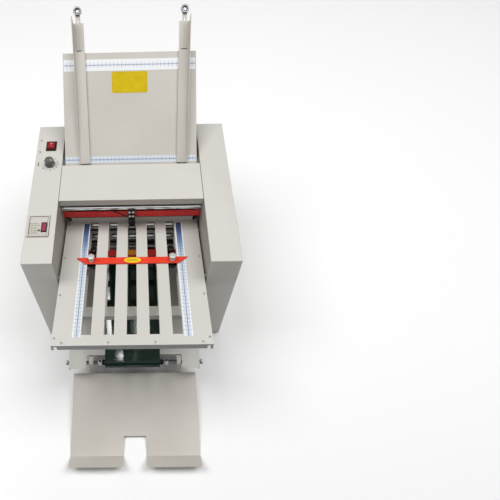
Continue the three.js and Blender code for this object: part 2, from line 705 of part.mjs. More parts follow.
// Count sensor on the front tie bar, and its lead to the left frame plate
function makeSensor() {
  const xs = both(sensor.half);
  const bar = [frontBar.y, frontBar.z];
  const wall = frontBar.radius + sensor.wall / 2;
  const clamp = block(xs, [frontBar.y - wall, frontBar.y + wall], [sensorZ.clampLow, sensorZ.clampHigh]);
  const arm = block(xs, [sensor.armFront, sensor.armBack], [sensorZ.bottom, sensorZ.armTop]);
  const eye = block(xs, [sensor.eyeFront, sensor.eyeBack], [sensorZ.bottom, sensorZ.eyeTop]);
  const bore = shaft(frontBar.radius + fit, both(sensor.half + overrun), bar, fine);
  place("sensor_block", cut(join(clamp, arm, eye), bore), black);
  const armMiddle = (sensor.armFront + sensor.armBack) / 2;
  const start = new THREE.Vector3(-sensor.half - fit, armMiddle, sensorZ.leadHeight);
  const end = new THREE.Vector3(-housing.passage + fit, leadEnd.y, leadEnd.z);
  const route = [start, ...leadRoute.map((p) => new THREE.Vector3(...p)), end];
  const section = shapeOf(arc([0, 0], lead.radius, 0, 360 - 360 / lead.sides, lead.sides - 1));
  const geometry = new THREE.ExtrudeGeometry(section, {
    steps: lead.steps,
    bevelEnabled: false,
    extrudePath: new THREE.CatmullRomCurve3(route),
  });
  place("sensor_lead", toSolid(geometry), black);
}
const leadRoute = [
  [-14, 182, 341],
  [-30, 187, 345],
  [-52, 194, 351],
  [-75, 200, 355],
  [-105, 204, 358],
  [-140, 206, 360],
  [-165, 206, 361],
];
const leadEnd = { y: 206, z: 361 };

// Delivery conveyor: deck, belt, two belt rollers, cross rod with its collars
function deckOutline() {
  const { half, ear, earInner, corner, front, rear } = deck;
  const right = [
    [earInner, front],
    ...arc([earInner + corner, -ear + corner], corner, 180, 270, 4),
    [half, -ear],
    [half, rear],
  ];
  return [...right, ...right.map(([x, y]) => [-x, y]).reverse()];
}

function makeConveyor() {
  const group = slopeGroup(conveyor);
  const beltX = [deliveryBelt.centre - deliveryBelt.half, deliveryBelt.centre + deliveryBelt.half];
  const rear = [conveyor.run, 0];
  const top = plan(deckOutline(), [deck.top - sheet, deck.top]);
  const flanges = [-1, 1].map((side) =>
    block(
      sideways(side, [deck.half - sheet, deck.half]),
      [-deck.ear, conveyor.run + deckFlange.back],
      [-deckFlange.bottom, deck.top],
    ),
  );
  const across = both(deck.half + overrun);
  const holes = [shaft(rod.radius + fit, across, [0, 0]), shaft(conveyorShaft + fit, across, rear)];
  place("delivery_deck", cut(join(top, flanges), holes), paintDark, group);
  const front = [0, 0];
  const { rollerRadius } = conveyor;
  const loop = beltLoop(front, rollerRadius, rear, rollerRadius, deliveryBelt.thick, beltX);
  place("delivery_belt", loop, greenBelt, group);
  const hubX = [beltX[0] - rollerHub.length, beltX[1] + rollerHub.length];
  const tube = cut(
    join(shaft(rollerRadius, beltX, front, fine), shaft(rollerHub.radius, hubX, front)),
    shaft(rod.radius + fit, [hubX[0] - overrun, hubX[1] + overrun], front),
  );
  place("conveyor_front_roller", tube, steel, group);
  const rearRoller = turned(
    [
      [leftPulleyFace[0], smallPulley.conveyorDriven],
      [leftPulleyFace[1], smallPulley.conveyorDriven],
      [leftPulleyFace[1], conveyorShaft],
      [beltX[0], conveyorShaft],
      [beltX[0], rollerRadius],
      [beltX[1], rollerRadius],
      [beltX[1], conveyorShaft],
      [frameFace[1] - fit, conveyorShaft],
    ],
    rear,
  );
  place("conveyor_rear_roller", rearRoller, steel, group);
  const nuts = [-1, 1].map((side) =>
    shaft(rod.nut, sideways(side, [rod.half - rod.nutLength, rod.half]), front, rodNutSides),
  );
  const collars = [-1, 1].flatMap((side) => {
    const x = side * collar.at + collar.shift;
    return [
      shaft(collar.radius, [x - collar.width / 2, x + collar.width / 2], front, fine),
      post(collar.screw, both(collar.screwReach), [x, 0]),
    ];
  });
  place("cross_rod", join(shaft(rod.radius, both(rod.half), front, fine), nuts, collars), steel, group);
}
const rodNutSides = 6;

// Catch tray: a sheet with an upturned lip and a notch, hung on the rod by two hooked straps
function makeTray() {
  const path = [
    [tray.lipY, tray.lipZ],
    [tray.bendY, 0],
    [tray.backY, tray.backZ],
  ];
  const skin = bentSheet(path, tray.thick, both(tray.half));
  const cornerArc = (x, y, from) => arc([x, y], trayCorner, from, from + quarterTurn, 4);
  const [left, front] = [-tray.half, tray.lipY - trayFront];
  const { corner } = trayNotch;
  const outline = [
    ...cornerArc(left + trayCorner, front + trayCorner, 180),
    ...cornerArc(-trayNotch.half - trayCorner, front + trayCorner, 270),
    ...arc([corner - trayNotch.half, trayNotch.endY - corner], corner, halfTurn, quarterTurn, 3),
  ];
  const mirrored = outline.map(([x, y]) => [-x, y]).reverse();
  const back = tray.backY + overrun;
  const whole = [...outline, ...mirrored, [tray.half, back], [-tray.half, back]];
  const blank = skin.intersect(plan(whole, [-overrun, tray.lipZ + tray.backZ]));
  const hub = [conveyor.y, conveyor.z];
  const inner = rod.radius + fit;
  const hook = [
    [conveyor.y + strap.tail, conveyor.z + inner - strap.tip],
    [conveyor.y + strap.tail, conveyor.z + inner],
    ...arc(hub, inner, quarterTurn, halfTurn, 4),
    [conveyor.y - inner, strap.kneeZ],
    [strap.footY, tray.backZ],
  ];
  const straps = [-1, 1].map((side) => {
    const x = side * strap.at + strap.shift;
    return bentSheet(hook.toReversed(), strap.thick, [x - strap.width / 2, x + strap.width / 2]);
  });
  place("catch_tray", join(blank, straps), paint);
}
const trayFront = 1.2;

// Power switch, speed knob with its board, and the counter with its key
function makeControls() {
  const top = housing.top + fit;
  const { frameX, frameY, frameUp, bodyDown, wall } = rocker;
  const [x, y] = rockerAt;
  const rimTop = top + frameUp;
  const rim = block(centred(x, frameX), centred(y, frameY), [top, rimTop]);
  const [wellX, wellY] = [frameX - wall * 2, frameY - wall * 2];
  const well = block(centred(x, wellX), centred(y, wellY), [top - bodyDown, rimTop]);
  const mouthX = frameX - wall * 4;
  const mouthY = rockerTip.radius * 2 + fit * 2;
  const mouth = block(centred(x, mouthX), centred(y, mouthY), [top - bodyDown + wall, rimTop + overrun]);
  place("switch_frame", cut(join(rim, well), mouth), black);
  const pivot = [y, rimTop - rockerTip.pivotDrop];
  const { radius, crown, skirt, valley, rest } = rockerTip;
  const tip = [
    ...arc(pivot, radius, skirt + rest, crown + rest, 6),
    polar(pivot, valley, quarterTurn + rest),
    ...arc(pivot, radius, halfTurn - crown + rest, halfTurn - skirt + rest, 6),
  ];
  place("power_rocker", profile(tip, centred(x, mouthX - fit * 2)), darkRed);
  const knobBase = top + fit;
  const turning = join(
    post(knob.radius, [knobBase, knobBase + knob.height], knobAt, fine, knob.radius - knob.taper),
    post(knob.shaft, [knobBase - knob.shaftDown, knobBase + overrun], knobAt),
  );
  place("speed_knob", turning, keyGrey);
  const ceiling = housing.top - housing.skin - fit;
  const potTop = ceiling - board.bushing;
  const level = ceiling - board.drop;
  const boardX = [knobAt[0] - board.halfX, knobAt[0] + board.halfX];
  const boardY = [knobAt[1] - board.front, knobAt[1] + board.back];
  const card = block(boardX, boardY, [level - board.thick, level]);
  const pot = post(board.pot, [level - board.thick / 2, potTop], knobAt);
  const bushing = post(board.bushing, [potTop - overrun, ceiling], knobAt);
  const bore = post(knob.shaft + fit, [knobBase - knob.shaftDown - overrun, top], knobAt);
  place("control_board", cut(join(card, pot, bushing), bore), greenBelt);
  const bezelTop = top + bezel.up;
  const face = block(centred(bezelAt[0], bezel.sizeX), centred(bezelAt[1], bezel.sizeY), [top, bezelTop]);
  const inner = bezel.edge * 2;
  const caseX = centred(bezelAt[0], bezel.sizeX - inner);
  const caseY = centred(bezelAt[1], bezel.sizeY - inner);
  const box = block(caseX, caseY, [top - bezel.down, bezelTop]);
  const sunk = block(caseX, caseY, [bezelTop - bezel.recess, bezelTop + overrun]);
  const keyAt = [bezelAt[0] + key.dx, bezelAt[1] + key.dy];
  const floor = bezelTop - bezel.recess;
  const keyBottom = floor - key.depth;
  const keyWell = post(key.radius + fit, [keyBottom - key.travel, bezelTop + overrun], keyAt);
  place("counter_bezel", cut(join(face, box), sunk, keyWell), paintDark);
  place("counter_key", post(key.radius, [keyBottom, floor + key.up], keyAt), black);
}

// Power inlet in the back of the right cover
function makeInlet() {
  const outside = housing.depth + fit;
  const face = outside + inlet.flangeY;
  const flangeZ = centred(inlet.z, inlet.flangeZ);
  const flange = block(centred(inletX, inlet.flangeX), [outside, face], flangeZ);
  const bodyY = [outside - inlet.bodyY, face];
  const body = block(centred(inletX, inlet.bodyX), bodyY, centred(inlet.z, inlet.bodyZ));
  const floor = face - inletRecess.depth;
  const recess = block(
    centred(inletX, inletRecess.sizeX),
    [floor, face + overrun],
    centred(inlet.z, inletRecess.sizeZ),
  );
  const pins = [-1, 0, 1].map((i) =>
    block(
      centred(inletX + i * inletPin.spacing, inletPin.sizeX),
      [floor - overrun, floor + inletPin.sizeY],
      centred(inlet.z + inletPin.raise, inletPin.sizeZ),
    ),
  );
  place("power_inlet", join(cut(join(flange, body), recess), pins), black);
}

makeBase();
makeFramePlates();
makeSideCovers();
makeBars();
makeTopCover();
makeFoldPlates();
makeStops();
makeFeedPanel();
makeGuide("left", guideAt.left, -1);
makeGuide("right", guideAt.right, 1);
makeRollers();
makeFeedRoller();
makeDrive();
makeSensor();
makeConveyor();
makeTray();
makeControls();
makeInlet();

// The origin is on the table under the middle of the whole machine
machine.updateMatrixWorld(true);
const reach = new THREE.Box3().setFromObject(machine, true);
const model = new THREE.Group();
machine.position.y = -(reach.min.y + reach.max.y) / 2;
model.add(machine);

export default model;
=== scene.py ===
# %% [markdown]
# # A desk paper folding machine
# The machine's solids come from a CAD model and keep their place and size.
# This lesson gives them their finishes, swaps the sheet metal for copies with softened edges, and adds
# the trim that a CAD model leaves out: rulers, screws, printed marks, knob grips and the like.
# Everything is in metres, X to the right, Y to the back and Z up, with the origin on the table.

import json
from math import atan2, cos, hypot, pi, radians, sin

import bmesh
import bpy
from mathutils import Matrix, Vector
from mathutils.geometry import interpolate_bezier


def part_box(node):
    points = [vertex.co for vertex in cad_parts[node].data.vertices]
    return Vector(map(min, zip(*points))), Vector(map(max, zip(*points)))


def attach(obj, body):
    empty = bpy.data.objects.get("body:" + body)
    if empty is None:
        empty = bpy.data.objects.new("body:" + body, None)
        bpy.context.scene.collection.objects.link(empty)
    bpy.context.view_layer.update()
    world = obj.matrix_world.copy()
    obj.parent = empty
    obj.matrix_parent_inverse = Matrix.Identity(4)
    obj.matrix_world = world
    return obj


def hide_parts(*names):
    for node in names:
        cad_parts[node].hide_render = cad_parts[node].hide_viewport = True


scene = bpy.context.scene


def new_object(name, data):
    thing = bpy.data.objects.new(name, data)
    scene.collection.objects.link(thing)
    return thing


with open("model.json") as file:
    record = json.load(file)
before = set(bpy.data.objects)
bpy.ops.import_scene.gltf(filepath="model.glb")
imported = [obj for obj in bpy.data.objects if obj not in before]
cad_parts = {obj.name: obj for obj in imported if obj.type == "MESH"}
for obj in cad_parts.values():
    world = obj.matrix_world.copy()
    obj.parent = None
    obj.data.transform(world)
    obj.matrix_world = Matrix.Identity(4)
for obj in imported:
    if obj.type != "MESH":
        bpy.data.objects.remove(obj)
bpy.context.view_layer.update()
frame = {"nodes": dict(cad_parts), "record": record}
bpy.ops.object.select_all(action="DESELECT")

# %% [markdown]
# ## Places on the machine
# The drawings of the machine measure in millimetres from the front face of the side boxes. One function
# turns such a place into metres in the scene. Rulers and screws sit on sloping sheets, so a second one
# gives a place along and above a slope.

# %% Places in millimetres
front_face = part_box("left_cover")[0].y


def at(x, y, z):
    return Vector((x / 1000, y / 1000 + front_face, z / 1000))


fold_plate = {"y": -172.68, "z": 365.67, "slope": -10.93}
lower_plate = {"y": -77.97, "z": 303.96, "slope": -10.93}
feed_sheet = {"y": 300.9, "z": 407.7, "slope": 37.1}
box_top = 414
cover_top = {"y": 0, "z": box_top, "slope": 0}


def on_slope(surface, x, along, above=0):
    angle = radians(surface["slope"])
    y = surface["y"] + along * cos(angle) - above * sin(angle)
    z = surface["z"] + along * sin(angle) + above * cos(angle)
    return at(x, y, z)


print("side boxes' front face at y =", round(front_face, 4))

# %% [markdown]
# ## Camera
# The photograph was taken from high in front of the machine, which fills the left of the picture. So the
# lens is shifted sideways instead of turned, which keeps the upright edges as they are there.

# %% Camera
eye = at(20.68, -528.77, 1308.23)
pitch, yaw, roll = 0.991085, -0.032682, -0.042436
picture_px, lens_px = 500, 466.71
centre_px = picture_px / 2
axis_x_px, axis_y_px = 131.706, 241.343
forward = Vector((sin(yaw) * cos(pitch), cos(yaw) * cos(pitch), -sin(pitch)))
level = Vector((cos(yaw), -sin(yaw), 0))
below = forward.cross(level)
right = cos(roll) * level - sin(roll) * below
up = -(sin(roll) * level + cos(roll) * below)
camera_data = bpy.data.cameras.new("camera")
camera_data.sensor_width = 36
camera_data.lens = lens_px / picture_px * camera_data.sensor_width
camera_data.shift_x = (centre_px - axis_x_px) / picture_px
camera_data.shift_y = (axis_y_px - centre_px) / picture_px
camera = new_object("camera", camera_data)
axes = Matrix((right, up, -forward)).transposed()
camera.matrix_world = Matrix.Translation(eye) @ axes.to_4x4()
scene.camera = camera
print("camera at", tuple(round(v, 3) for v in eye))

# %% [markdown]
# ## Studio
# On the photograph the tops are the brightest faces and the fronts are much darker. So most light comes
# from two large lamps overhead, with a dim sky to fill the shadows. A weak lamp in front gives the chrome
# bar its white line, and narrow lamps leave bright streaks on the glossy belt. A grey card keeps the
# floor's light off the box fronts.

# %% World, floor and lamps
sky_strength = 0.27
lamp_height = 4.8
floor_drop = 0.0005
world = bpy.data.worlds.new("studio")
scene.world = world
world.use_nodes = True
sky = world.node_tree.nodes["Background"]
sky.inputs["Color"].default_value = (1, 1, 1, 1)
sky.inputs["Strength"].default_value = sky_strength
scene.view_settings.view_transform = "Standard"


def lamp(name, place, aim, size, power):
    light = bpy.data.lights.new(name, "AREA")
    light.shape = "RECTANGLE"
    light.size, light.size_y = size
    light.energy = power
    thing = new_object(name, light)
    thing.location = place
    direction = Vector(aim) - Vector(place)
    thing.rotation_euler = direction.to_track_quat("-Z", "Y").to_euler()


lamp("left_softbox", (-2.1, 0.25, lamp_height), (0, 0, 0.2), (1.8, 3), 121)
lamp("right_softbox", (1.9, 0.25, lamp_height), (0, 0, 0.2), (1.8, 3), 118)
lamp("front_softbox", (-0.1, -2.4, 3.0), (0, 0, 0.4), (1.8, 2.8), 12)
strips = [
    ("belt_strip_left", -0.81, 0.24, 0.1, 0.5, 3.4),
    ("belt_strip_middle", -0.01, 0.071, 0.035, 0.2, 0.6),
    ("belt_strip_front", -0.204, -0.275, 0.118, 0.04, 0.75),
]
for name, x, y, wide, deep, power in strips:
    lamp(name, (x, y, lamp_height), (x, y, 0), (wide, deep), power)
bpy.ops.mesh.primitive_plane_add(size=12, location=(0, 0, -floor_drop))
floor = bpy.context.object
floor.name = "floor"
bpy.ops.mesh.primitive_plane_add(size=1, location=(0.6, -0.85, 0.46), rotation=(pi / 2, 0, 0))
shade_card = bpy.context.object
shade_card.name = "grey_shade_card"
shade_card.scale = (1.8, 0.9, 1)
shade_card.visible_camera = False
print("lamps:", 3 + len(strips))

# %% [markdown]
# ## Lead of the count sensor
# A 3 mm cable runs from the sensor to the left side box, held at both ends, on the route that the CAD
# model keeps clear. The curve is measured first, and then it becomes a mesh tube.

# %% Sensor lead
curve_steps = 8
lead_route = [
    (-8.8, 181, 340),
    (-14, 182, 341),
    (-30, 187, 345),
    (-52, 194, 351),
    (-75, 200, 355),
    (-105, 204, 358),
    (-140, 206, 360),
    (-165, 206, 361),
    (-177.2, 206, 361),
]
lead_line = bpy.data.curves.new("sensor_lead_skin", "CURVE")
lead_line.dimensions = "3D"
lead_line.bevel_depth = 0.0015
lead_line.bevel_resolution = 4
lead_line.resolution_u = curve_steps
lead_line.use_fill_caps = True
spline = lead_line.splines.new("BEZIER")
spline.bezier_points.add(len(lead_route) - 1)
for point, place in zip(spline.bezier_points, lead_route):
    point.co = at(*place)
    point.handle_left_type = point.handle_right_type = "AUTO"
lead = new_object("sensor_lead_skin", lead_line)
bpy.context.view_layer.update()
lead_path = []
for start, end in zip(spline.bezier_points[:-1], spline.bezier_points[1:]):
    handles = (start.co, start.handle_right, end.handle_left, end.co)
    lead_path += interpolate_bezier(*handles, curve_steps)[:-1]
lead_path.append(at(*lead_route[-1]))
lead.select_set(True)
bpy.context.view_layer.objects.active = lead
bpy.ops.object.convert(target="MESH")
lead = bpy.context.object
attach(lead, "machine")
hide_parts("sensor_lead")

# %% [markdown]
# ## Tools for finishes
# Colours are written as the sRGB hex values that one would pick from a picture, and one function turns
# them to the linear values that the shader works in. Another adds a node, and short ones built on it name
# the steps that most finishes share: noise, a range, a ramp and a bump.


# %% Colour and node helpers
def linear(hex_colour):
    channels = [int(hex_colour[i : i + 2], 16) / 255 for i in (1, 3, 5)]
    return tuple(
        c / 12.92 if c <= 0.04045 else ((c + 0.055) / 1.055) ** 2.4 for c in channels
    ) + (1,)


def node(material, kind, settings=(), links=()):
    made = material.node_tree.nodes.new("ShaderNode" + kind)
    for key, value in dict(settings).items():
        if isinstance(key, int) or key in made.inputs:
            made.inputs[key].default_value = value
        else:
            setattr(made, key, value)
    for key, source in dict(links).items():
        material.node_tree.links.new(source, made.inputs[key])
    return made


def new_material(name, colour, roughness, metallic=0.0, **more):
    material = bpy.data.materials.new(name)
    material.use_nodes = True
    shader = material.node_tree.nodes["Principled BSDF"]
    shader.inputs["Base Color"].default_value = linear(colour)
    shader.inputs["Roughness"].default_value = roughness
    shader.inputs["Metallic"].default_value = metallic
    for key, value in more.items():
        shader.inputs[key.replace("_", " ")].default_value = value
    return material


def object_place(material):
    return node(material, "TexCoord").outputs["Object"]


def noise(material, place, scale, detail=2.0):
    settings = {"Scale": scale, "Detail": detail}
    return node(material, "TexNoise", settings, {"Vector": place}).outputs["Fac"]


def remap(material, value, limits, results=(0, 1)):
    settings = dict(zip(("From Min", "From Max", "To Min", "To Max"), limits + results))
    return node(material, "MapRange", settings, {"Value": value}).outputs["Result"]


def ramp(material, value, stops):
    tones = node(material, "ValToRGB", links={"Fac": value})
    elements = tones.color_ramp.elements
    while len(elements) < len(stops):
        elements.new(0.5)
    for element, (position, colour) in zip(elements, stops):
        element.position = position
        element.color = linear(colour)
    return tones.outputs["Color"]


def to_shader(material, source, socket):
    shader = material.node_tree.nodes["Principled BSDF"]
    material.node_tree.links.new(source, shader.inputs[socket])


def bumpy(material, height, strength, distance):
    settings = {"Strength": strength, "Distance": distance}
    bump = node(material, "Bump", settings, {"Height": height})
    to_shader(material, bump.outputs["Normal"], "Normal")
    return bump


# %% [markdown]
# ## Powder coat
# The machine's sheet steel is powder coated in a warm light grey: the powder melts to a satin skin with
# a faint orange peel. Real peel is about 1 mm wide, too fine to show from here, so it is drawn 2.5 mm wide.
# Large soft differences in tone, about 150 mm wide, keep the big flat faces from looking like plain colour.


# %% Powder coat
def powder_coat(name, light, dark, roughness):
    material = new_material(name, light, roughness, Specular_IOR_Level=0.45)
    place = object_place(material)
    cloud = noise(material, place, 7, 3)
    to_shader(material, ramp(material, cloud, [(0.3, dark), (0.7, light)]), "Base Color")
    gloss = remap(material, cloud, (0, 1), (roughness - 0.06, roughness + 0.06))
    to_shader(material, gloss, "Roughness")
    bumpy(material, noise(material, place, 400), 0.25, 0.0001)
    return material


box_coat = powder_coat("light_grey_powder_coat", "#cac8c2", "#c5c3bc", 0.5)
sheet_coat = powder_coat("warm_grey_powder_coat", "#c6c2ba", "#bfbab2", 0.42)
dark_coat = powder_coat("darker_grey_powder_coat", "#a9a59d", "#a19d95", 0.5)
# The lip coat is darker and greyer: painted shade for the lip, which faces forward and down. The bend coat
# is near white: a painted highlight for the line of light on the bend.
painted_shade_lip_coat = powder_coat("painted_shade_grey_lip_coat", "#a2a3a1", "#999a98", 0.5)
painted_highlight_bend_coat = powder_coat("painted_highlight_bend_finish", "#f3f2ee", "#eceae5", 0.3)
print("powder coats:", box_coat.name, sheet_coat.name)

# %% [markdown]
# ## Metals
# The tie bars are chrome plated, so they mirror the studio. Shafts and the steel rollers are drawn or
# ground, with a brushed grain: fine lines along the bar, about 0.3 mm apart, drawn 1 mm apart to show.


# %% Metals
def brushed(name, colour, roughness, along=(1, 1, 1)):
    material = new_material(name, colour, roughness, 1.0)
    stretched = node(material, "Mapping", {"Scale": along}, {"Vector": object_place(material)})
    grain = noise(material, stretched.outputs["Vector"], 1000, 3)
    dullness = remap(material, grain, (0, 1), (roughness - 0.08, roughness + 0.12))
    to_shader(material, dullness, "Roughness")
    bumpy(material, grain, 0.2, 0.00005)
    return material


chrome = brushed("chrome_plated_steel", "#ececee", 0.12, (0.02, 0.4, 0.4))
shaft_steel = brushed("drawn_steel_shaft", "#8f9193", 0.3, (0.05, 1, 1))
ground_steel = brushed("ground_steel_roller", "#a9a9a6", 0.15, (0.05, 1, 1))
zinc = brushed("zinc_plated_screw", "#c6c5c0", 0.35)
satin_chrome = brushed("satin_chrome_plate", "#eef1f4", 0.46)
black_oxide = brushed("black_oxide_steel", "#3d3c3b", 0.4)
ring_steel = brushed("polished_steel_ring", "#8b8c90", 0.22)
print("metals:", chrome.name, zinc.name)

# %% [markdown]
# ## Plastics, rubber and enamel
# Small parts are moulded plastic: ABS for the switch, the knob and the sensor, nylon for the gears.
# A moulded skin has a fine eroded texture, about 0.4 mm, drawn 1 mm wide. Rubber on rollers and feet is
# matt and a little dusty. The stop bars are stove enamelled, smooth with a soft gloss, and printed films
# and inks are smoother still. The thumb screws' satin nickel is a half metallic coat made the same way.


# %% Moulded and coated finishes
def moulded(name, colour, shade, roughness, grain=1000, depth=0.00006, **more):
    material = new_material(name, colour, roughness, **more)
    place = object_place(material)
    cloud = noise(material, place, 60, 4)
    to_shader(material, ramp(material, cloud, [(0.35, shade), (0.65, colour)]), "Base Color")
    bumpy(material, noise(material, place, grain), 0.3, depth)
    return material


def enamelled(name, colour, shade, roughness=0.4):
    return moulded(name, colour, shade, roughness, 300, 0.00002)


def thin_film(name, colour, shade, roughness=0.5, **more):
    return moulded(name, colour, shade, roughness, 300, 0.00001, **more)


clear_coat = {"Coat_Weight": 0.5, "Coat_Roughness": 0.08}
rubber = moulded("black_roller_rubber", "#2e2c2b", "#252322", 0.75, 700, 0.0001)
foot_rubber = moulded("black_foot_rubber", "#242322", "#1c1b1b", 0.85, 500, 0.0001)
stop_enamel = enamelled("orange_red_enamel", "#e8432a", "#e03a24", 0.35)
bar_enamel = enamelled("dark_red_enamel", "#fb3b3a", "#ec3434")
# The lower stop bar's red is the upper bar's red darkened: painted shade for the bar under the upper plate.
painted_shade_lower_enamel = enamelled("painted_shade_red_enamel", "#c22f2b", "#b32925")
black_abs = moulded("black_abs", "#121111", "#0c0b0b", 0.4, Specular_IOR_Level=0.3)
switch_abs = moulded("maroon_black_abs", "#260c0e", "#1c090b", 0.35)
rocker_red = moulded("red_polycarbonate", "#9c0e1a", "#860b16", 0.2, **clear_coat)
lens_red = moulded("red_acrylic_lens", "#9c4056", "#8d3a4e", 0.15, Coat_Weight=0.5, Coat_Roughness=0.05)
grey_abs = moulded("dark_grey_abs", "#636460", "#565753", 0.38)
key_green = moulded("dark_green_key_cap", "#2f4a40", "#263d35", 0.4)
pad_film = thin_film("pale_keypad_film", "#c4c1b4", "#bbb8ab", 0.4)
mark_ink = thin_film("dark_grey_printing_ink", "#4c4b48", "#43423f")
white_ink = thin_film("white_printing_ink", "#e9e8e4", "#dddcd8")
print_blue = thin_film("blue_printing_ink", "#4a66a0", "#41598c")
lead_pvc = moulded("black_cable_pvc", "#0f0e0e", "#0a0909", 0.5, 800)
satin_nickel = moulded("satin_nickel_plate", "#d3d6d5", "#c8cbca", 0.42, 600, 0.00002, Metallic=0.4)
nylon = moulded("white_nylon", "#e6e2d6", "#dad6c9", 0.5)
motor_paint = moulded("black_motor_paint", "#262626", "#1c1c1c", 0.55, 400)
board_resin = moulded("green_circuit_board", "#12492c", "#0d3a22", 0.4)
print("moulded and coated:", rubber.name, grey_abs.name)

# %% [markdown]
# ## Delivery belt
# The belt is dark green PVC with a smooth face. It is so glossy that it mirrors the lamps, a little
# unevenly, because a belt lies in shallow waves some 40 mm long. Its left edge is cupped by a few degrees,
# except at the front roller, which pulls it flat.

# %% Belt finish
belt_pvc = new_material("dark_green_pvc_belt", "#0b2c22", 0.07)
belt_place = object_place(belt_pvc)
belt_cloud = noise(belt_pvc, belt_place, 25)
to_shader(belt_pvc, ramp(belt_pvc, belt_cloud, [(0, "#08251c"), (1, "#0d3428")]), "Base Color")
belt_wave = node(belt_pvc, "Bump", {"Strength": 0.1, "Distance": 0.0001}, {"Height": belt_cloud})
belt_across = node(belt_pvc, "SeparateXYZ", links={"Vector": belt_place})
belt_flat_front = remap(belt_pvc, belt_across.outputs["Y"], (-0.205, -0.17), (1, 0))
belt_edge = node(
    belt_pvc,
    "MapRange",
    {"From Min": -0.08, "From Max": -0.054},
    {"Value": belt_across.outputs["X"], "To Min": belt_flat_front},
)
belt_cup = bumpy(belt_pvc, belt_edge.outputs["Result"], 1.0, 0.00127)
belt_pvc.node_tree.links.new(belt_wave.outputs["Normal"], belt_cup.inputs["Normal"])
print("belt finish:", belt_pvc.name)

# %% [markdown]
# ## Finishes for the CAD parts
# The record of the machine names a finish for each part. Parts that keep their CAD shape take their
# finish here, and the copies made later take theirs when they are made.


# %% Paint the CAD parts
def paint_node(name, material):
    mesh = frame["nodes"][name].data
    mesh.materials.clear()
    mesh.materials.append(material)


finishes = {
    "paint": box_coat,
    "paint_dark": dark_coat,
    "steel": shaft_steel,
    "chrome": chrome,
    "rubber": rubber,
    "red": stop_enamel,
    "dark_red": bar_enamel,
    "black": black_abs,
    "green_belt": belt_pvc,
    "nylon": nylon,
    "knob_grey": grey_abs,
}
for part in frame["record"]["subparts"]:
    paint_node(part["node"], finishes[part["material_slot"]])
feet = [name for name in frame["nodes"] if name.startswith("foot_")]
for name in feet:
    paint_node(name, foot_rubber)
paint_node("motor", motor_paint)
paint_node("control_board", board_resin)
lead.data.materials.append(lead_pvc)
floor_card = new_material("white_floor_card", "#fafafa", 0.9)
floor_cloud = noise(floor_card, object_place(floor_card), 0.6)
floor_tone = ramp(floor_card, floor_cloud, [(0, "#f7f7f7"), (1, "#fcfcfc")])
to_shader(floor_card, floor_tone, "Base Color")
floor.data.materials.append(floor_card)
shade_card.data.materials.append(moulded("dark_grey_felt", "#626262", "#5a5a5a", 0.95, 300, 0.0002))

# %% [markdown]
# ## Tools for shaping
# An operator works on all that is selected, so one function selects a single object. Others enter and
# leave edit mode, and select the vertices, edges or faces that pass a test. The last one gives a
# finished piece its finish, lets it ride on its body, and makes its place part of its mesh.


# %% Shaping helpers
facing_up = 0.9


def alone(piece):
    if bpy.context.mode != "OBJECT":
        bpy.ops.object.mode_set(mode="OBJECT")
    bpy.ops.object.select_all(action="DESELECT")
    piece.select_set(True)
    bpy.context.view_layer.objects.active = piece
    return piece


def edit(piece):
    alone(piece)
    bpy.ops.object.mode_set(mode="EDIT")


def leave_edit():
    bpy.ops.object.mode_set(mode="OBJECT")


def pick(piece, kind, wanted):
    bpy.ops.mesh.select_mode(type={"verts": "VERT", "edges": "EDGE", "faces": "FACE"}[kind])
    bpy.ops.mesh.select_all(action="DESELECT")
    shape = bmesh.from_edit_mesh(piece.data)
    found = 0
    for item in getattr(shape, kind):
        if wanted(item):
            item.select_set(True)
            found += 1
    bmesh.update_edit_mesh(piece.data)
    return found


def pick_top(piece):
    return pick(piece, "faces", lambda face: face.normal.z > facing_up)


def bevel_picked(width, segments):
    bpy.ops.mesh.bevel(offset=width / 1000, segments=segments, affect="EDGES")


def inset_and_lift(inset, lift=0):
    bpy.ops.mesh.inset(thickness=inset / 1000)
    bpy.ops.transform.translate(value=(0, 0, lift / 1000))


def smooth(piece, degrees):
    alone(piece)
    bpy.ops.object.shade_smooth_by_angle(angle=radians(degrees))


def joined(pieces):
    alone(pieces[0])
    for one in pieces:
        one.select_set(True)
    if len(pieces) > 1:
        bpy.ops.object.join()
    return pieces[0]


def modify(piece, kind, **settings):
    alone(piece)
    modifier = piece.modifiers.new(kind.title(), kind)
    for key, value in settings.items():
        setattr(modifier, key, value)
    bpy.ops.object.modifier_apply(modifier=modifier.name)
    return piece


def apply_place(piece):
    alone(piece)
    bpy.ops.object.transform_apply(location=True, rotation=True, scale=True)
    return piece


def on_sheet(surface, x, along, above=0):
    slope = Matrix.Rotation(radians(surface["slope"]), 4, "X")
    return Matrix.Translation(on_slope(surface, x, along, above)) @ slope


def lay(piece, surface, x, along, above, turn=0):
    spin = Matrix.Rotation(radians(turn), 4, "Z")
    piece.matrix_world = on_sheet(surface, x, along, above) @ spin @ piece.matrix_world
    return apply_place(piece)


def hand_on(piece, name, material, stands_for=(), body="machine"):
    apply_place(piece)
    piece.name = name
    piece.data.name = name
    piece.data.materials.clear()
    piece.data.materials.append(material)
    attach(piece, body)
    for cad_name in stands_for:
        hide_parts(cad_name)
    return piece


# %% [markdown]
# ## Sheet metal with softened edges
# Folded sheet steel never has knife edges: a press brake leaves a small radius, and the powder coat rounds
# it further, so each edge catches a thin line of light. A copy of each CAD part is merged to one skin,
# its flat faces are dissolved to single faces, and a Bevel modifier rounds every edge sharper than 32
# degrees. Hardened normals keep the flats flat. The two front plates end in a lip that is bent down: its
# bend gets a larger radius and a near-white coat, a painted highlight for the line of light it catches,
# and the lip gets a darker, greyer coat, painted shade for a face that turns forward and down.


# %% Rounded copies of the sheet metal
def merged_copy(name):
    piece = new_object(name + "_skin", frame["nodes"][name].data.copy())
    edit(piece)
    bpy.ops.mesh.select_all(action="SELECT")
    bpy.ops.mesh.remove_doubles(threshold=0.00001)
    bpy.ops.mesh.dissolve_limited(angle_limit=radians(0.4))
    leave_edit()
    return piece


